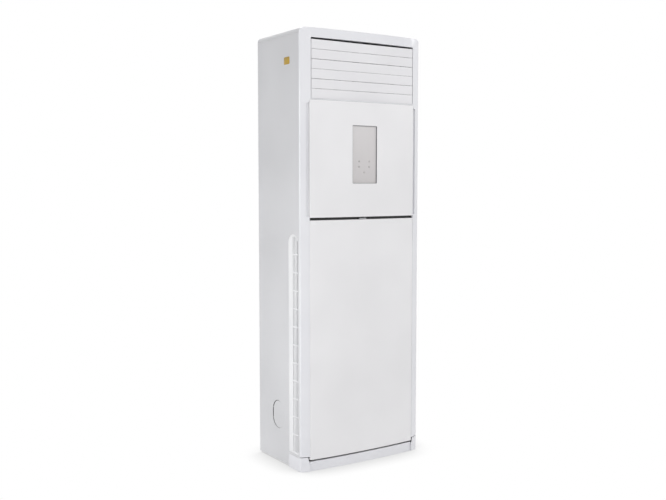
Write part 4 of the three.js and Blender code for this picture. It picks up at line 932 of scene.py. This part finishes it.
def buildPlinth():
    p = plinthSizes
    inner, wall = p["blockInner"], p["wall"]
    outline = [(-returnEnd, 0), (returnEnd, 0), (returnEnd, p["height"]), (-returnEnd, p["height"])]
    middle = rectangle(-inner, inner, -1, p["middleHeight"])
    backs = [(rectangle(side * (inner + wall), side * insideEnd, -1, p["height"] - wall), wall)
             for side in (-1, 1)]
    backs += [(middle, (p["backY"],)),
              (rectangle(-inner, inner, -1, p["middleHeight"] - wall), p["recess"] + wall)]
    holes = [rectangle(-inner, inner, p["middleHeight"], p["height"] + 5)]
    # a tapering notch between each corner block and the panel's end
    notchWide, notchLow = p["notch"]
    holes += [[(side * (inner - 1), notchLow), (side * (inner + notchWide), p["height"] + 1),
               (side * (inner - 1), p["height"] + 1)] for side in (-1, 1)]
    bm = bmesh.new()
    addRelief(bm, frontPlace, outline, 0.0, (front["returnY"],), [(middle, p["recess"])], backs, holes,
              frontCuts)
    for side in (-1, 1):
        addRelief(bm, sidePlace(side), rectangle(front["returnY"] + 0.02, p["flankY"], 0, p["flankTop"]),
                  0.0, p["flankSheet"])
    finishPiece(pieceFrom("plinthShell", bm), "cabinet", "frontGloss", p["edge"], 3,
                ["plinth"])


grilleSizes = {
    "fit": 0.3, "thickness": 3.0, "slatDepth": 5.0, "slatInset": 1.5, "fieldDrop": 0.7, "fieldInset": 2.6,
    "edge": 0.5, "crossBar": 4.0,
    # slots as (start along y, width): the foremost one is the widest and looks darkest
    "slots": ((-138.0, 6.0), (-126.6, 4.0), (-115.6, 4.0), (-104.6, 4.0)),
    "rowStart": 74.0, "rowPitch": 72.5, "rows": 12, "archMargin": 5.0,
}
filterSizes = {
    "outer": (-140.0, -69.0, 68.0, 912.5), "frontX": 287.8, "backX": 284.7, "rim": 6.0, "bar": 3.0,
    "rows": 7, "radius": 4, "windowRadius": 3, "windowSteps": 3, "edge": 0.5,
    "clothInset": 2, "clothDepth": 1.6, "clothThickness": 0.4,
}


def buildGrille(side):
    g = grilleSizes
    name = "left" if side < 0 else "right"
    y0, y1, _, z1 = casing["intake"]
    middle, radius = (y0 + y1) / 2, (y1 - y0) / 2
    slots = []
    for y, width in g["slots"]:
        off = max(abs(y - middle), abs(y + width - middle))
        arch = z1 - radius + math.sqrt(radius ** 2 - off ** 2) - g["archMargin"]
        for row in range(g["rows"]):
            z = g["rowStart"] + g["rowPitch"] * row
            slots.append(rectangle(y, y + width, z, min(z + g["rowPitch"] - g["crossBar"], arch)))
    field = intakeLoop(g["fit"] + g["fieldInset"])
    bm = bmesh.new()
    addRelief(bm, sidePlace(side), intakeLoop(g["fit"]), 0.0, g["thickness"], [(field, g["fieldDrop"])],
              [(intakeLoop(g["fit"] + g["slatInset"]), g["slatDepth"])], slots)
    finishPiece(pieceFrom(name + "IntakeGrille", bm), name + "_intake", "grilleWhite",
                g["edge"], 2, ["intake_grille_" + name])


def buildFilter(side):
    # a frame of two by seven windows, with one cloth caught in it
    f = filterSizes
    name = "left" if side < 0 else "right"
    y0, y1, z0, z1 = f["outer"]
    middle, step = (y0 + y1) / 2, (z1 - z0 - f["rim"]) / f["rows"]
    windows = []
    for row in range(f["rows"]):
        low = z0 + f["rim"] + step * row
        for a, b in ((y0 + f["rim"], middle - f["bar"] / 2), (middle + f["bar"] / 2, y1 - f["rim"])):
            windows.append(roundedRectangle(a, b, low, low + step - f["rim"], f["windowRadius"],
                                            f["windowSteps"]))

    def place(u, v, depth):
        return side * (f["frontX"] - depth), u, v

    bm = bmesh.new()
    addRelief(bm, place, roundedRectangle(y0, y1, z0, z1, f["radius"]), 0.0, f["frontX"] - f["backX"],
              (), (), windows)
    finishPiece(pieceFrom(name + "FilterFrame", bm), name + "_intake", "greyPlastic",
                f["edge"], 2, ["filter_" + name])
    bm = bmesh.new()
    inset = f["clothInset"]
    addRelief(bm, place, rectangle(y0 + inset, y1 - inset, z0 + inset, z1 - inset), f["clothDepth"],
              f["clothDepth"] + f["clothThickness"])
    finishPiece(pieceFrom(name + "FilterCloth", bm), name + "_intake", "filterCloth")


footSizes = {
    "places": {"foot_front_left": (-248, -100), "foot_front_right": (248, -100),
               "foot_rear_left": (-248, 135), "foot_rear_right": (248, 135)},
    "profile": [(0, 0.6), (4, 0.6), (5, 0), (15.5, 0), (17.6, 1.2), (18, 2.4), (17, 6.8), (15.5, 8), (0, 8)],
    "steps": 36,
}
labelSizes = {"place": (-80.5, -36.5, 1617, 1646), "radius": 5, "front": 0.1, "back": 0.2}


def buildFeet():
    for name, (x, y) in footSizes["places"].items():
        bm = bmesh.new()
        addTurned(bm, footSizes["profile"], (x, y), footSizes["steps"], "z")
        words = name.split("_")
        finishPiece(pieceFrom(words[1] + words[2].title() + "Foot", bm), "cabinet", "rubber", 0, 1,
                    [name])


def buildLabel():
    # a plain yellow label high on the left side
    d = labelSizes
    bm = bmesh.new()
    addRelief(bm, sidePlace(-1), roundedRectangle(*d["place"], d["radius"]), d["front"], d["back"])
    finishPiece(pieceFrom("plainYellowLabel", bm), "cabinet", "sticker")


for whichSide in (-1, 1):
    buildSide(whichSide)
    buildGrille(whichSide)
    buildFilter(whichSide)
buildKnockout()
buildBack()
buildTop()
buildPlinth()
buildFeet()
buildLabel()
print("casing, plinth, grilles and feet built")


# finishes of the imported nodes: those that keep their own shape, and those that stay hidden

keptNodes = {
    "frontGloss": ["front_frame", "plinth"],
    "grilleWhite": ["intake_grille_left", "intake_grille_right"],
    "panelSatin": ["upper_display_panel", "lower_front_panel"] + [f"louvre_blade_{i}" for i in range(1, 7)],
    "whiteSteel": ["left_side_panel", "right_side_panel", "pipe_knockout", "back_panel", "top_cover"],
    "windowAcrylic": ["display_window"],
    "keycap": ["key_mode", "key_fan", "key_up", "key_down", "key_power"],
    "blackAbs": ["mid_rail"],
    "catchSteel": ["panel_catch"],
    "galvanised": ["base_pan", "partition_plate", "duct_plate", "blower_housing", "inlet_plate",
                   "motor_bracket", "electrical_box", "electrical_box_lid"],
    "finsAndGapShade": ["coil_fins"],
    "copper": ["tube_sheet_left", "tube_sheet_right", "gas_pipe", "liquid_pipe"],
    "motorCan": ["blower_motor", "louvre_motor", "swing_motor"],
    "greyPlastic": ["drain_pan", "blade_link", "vane_link"] + [f"upright_vane_{i}" for i in range(1, 6)],
    "darkPlastic": ["outlet_liner", "blower_wheel"],
    "board": ["display_board", "control_board"],
    "filterCloth": ["filter_left", "filter_right"],
    "rubber": ["foot_front_left", "foot_front_right", "foot_rear_left", "foot_rear_right"],
}
for surface, names in keptNodes.items():
    for name in names:
        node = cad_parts[name]
        node.data.materials.clear()
        node.data.materials.append(finish[surface])
print("packed pieces dressed")


# floor, light and camera

studio = {
    "worldColour": "#F7F8FA", "worldLight": 0.46, "floorHalf": 8.0, "floorDrop": 0.0005,
    "floorColour": "#F4F4F4",
    # the contact shadow: its reach, its darkest and lightest tone, and the openness that gives each
    "shadowReach": 0.16, "shadowTones": (0.62, 1.0), "shadowOpenness": (0.25, 0.85),
    # soft boxes: place, aimed at, width, height, watts
    "lamps": {
        "frontKey": ((-0.6, -4.4, 4.2), (0.0, 0.0, 1.0), 2.4, 2.4, 101.0),
        "rightFill": ((4.4, -2.4, 3.4), (0.0, 0.0, 0.9), 2.0, 2.0, 58.0),
        "lowLeftFill": ((-1.9, -0.2, 0.36), (0.0, -0.2, 0.36), 2.0, 0.7, 7.8),
        "edgeStrip": ((-2.3, -0.5, 1.4), (-0.29, -0.16, 1.3), 1.5, 0.75, 9.0),
        "topFill": ((0.0, 0.6, 4.6), (0.0, 0.0, 1.2), 3.0, 3.0, 26.0),
        "backFill": ((0.9, 4.4, 2.6), (0.0, 0.18, 0.9), 2.2, 2.2, 40.0),
    },
    # the camera's tilt below level and its turn, in degrees
    "lens": 47.87, "sensor": 36.0, "cameraPlace": (-2.0755, -3.1159, 1.1487), "cameraTilt": 4.29,
    "cameraTurn": -33.2,
}


def seenDirectly(tree):
    # 1 where the eye, or a mirror or lens, meets the backdrop
    path = addNode(tree, "ShaderNodeLightPath")
    straight = addNode(tree, "ShaderNodeMath", {
        0: path.outputs["Is Camera Ray"], 1: path.outputs["Is Glossy Ray"]}, operation="MAXIMUM").outputs[0]
    return addNode(tree, "ShaderNodeMath", {
        0: straight, 1: path.outputs["Is Transmission Ray"]}, operation="MAXIMUM").outputs[0]


def buildWorld():
    world = bpy.data.worlds.new("studioWhite")
    bpy.context.scene.world = world
    world.use_nodes = True
    tree = world.node_tree
    tree.nodes.clear()
    soft = addNode(tree, "ShaderNodeBackground", {
        "Color": toLinear(studio["worldColour"]), "Strength": studio["worldLight"]})
    white = addNode(tree, "ShaderNodeBackground", {"Color": (1, 1, 1, 1), "Strength": 1.0})
    blend = addNode(tree, "ShaderNodeMixShader")
    tree.links.new(seenDirectly(tree), blend.inputs[0])
    tree.links.new(soft.outputs[0], blend.inputs[1])
    tree.links.new(white.outputs[0], blend.inputs[2])
    output = addNode(tree, "ShaderNodeOutputWorld")
    tree.links.new(blend.outputs[0], output.inputs[0])


def buildFloor():
    s = studio
    bm = bmesh.new()
    corners = rectangle(-s["floorHalf"], s["floorHalf"], -s["floorHalf"], s["floorHalf"])
    bm.faces.new([bm.verts.new((x, y, -s["floorDrop"])) for x, y in corners])
    mesh = bpy.data.meshes.new("floor")
    bm.to_mesh(mesh)
    bm.free()
    floor = bpy.data.objects.new("floor", mesh)
    bpy.context.scene.collection.objects.link(floor)
    material, tree, shader = startMaterial("paleStudioFloor", Base_Color=s["floorColour"], Roughness=0.8)
    output = next(n for n in tree.nodes if n.type == "OUTPUT_MATERIAL")
    # seen directly the floor is white but for the object's own shadow
    shade = addNode(tree, "ShaderNodeAmbientOcclusion", {"Distance": s["shadowReach"]}, samples=8)
    dim = spread(tree, shade.outputs["AO"], *s["shadowTones"], *s["shadowOpenness"])
    glow = addNode(tree, "ShaderNodeEmission", {"Color": (1, 1, 1, 1), "Strength": dim})
    blend = addNode(tree, "ShaderNodeMixShader")
    tree.links.new(seenDirectly(tree), blend.inputs[0])
    tree.links.new(shader.outputs[0], blend.inputs[1])
    tree.links.new(glow.outputs[0], blend.inputs[2])
    tree.links.new(blend.outputs[0], output.inputs[0])
    floor.data.materials.append(material)


def buildLamps():
    for name, (place, target, width, height, watts) in studio["lamps"].items():
        lamp = bpy.data.lights.new(name, "AREA")
        lamp.shape, lamp.size, lamp.size_y, lamp.energy = "RECTANGLE", width, height, watts
        holder = bpy.data.objects.new(name, lamp)
        holder.location = place
        holder.visible_camera = False
        aim = Vector(target) - Vector(place)
        holder.rotation_euler = aim.to_track_quat("-Z", "Y").to_euler()
        bpy.context.scene.collection.objects.link(holder)


def buildCamera():
    s = studio
    camera = bpy.data.cameras.new("photoCamera")
    camera.sensor_width, camera.lens = s["sensor"], s["lens"]
    holder = bpy.data.objects.new("photoCamera", camera)
    holder.location = s["cameraPlace"]
    holder.rotation_euler = (math.radians(90 - s["cameraTilt"]), 0, math.radians(s["cameraTurn"]))
    bpy.context.scene.collection.objects.link(holder)
    bpy.context.scene.camera = holder


buildWorld()
buildFloor()
buildLamps()
buildCamera()
bpy.context.scene.view_settings.view_transform = "Standard"
print("floor, light and camera ready")

bpy.context.view_layer.update()
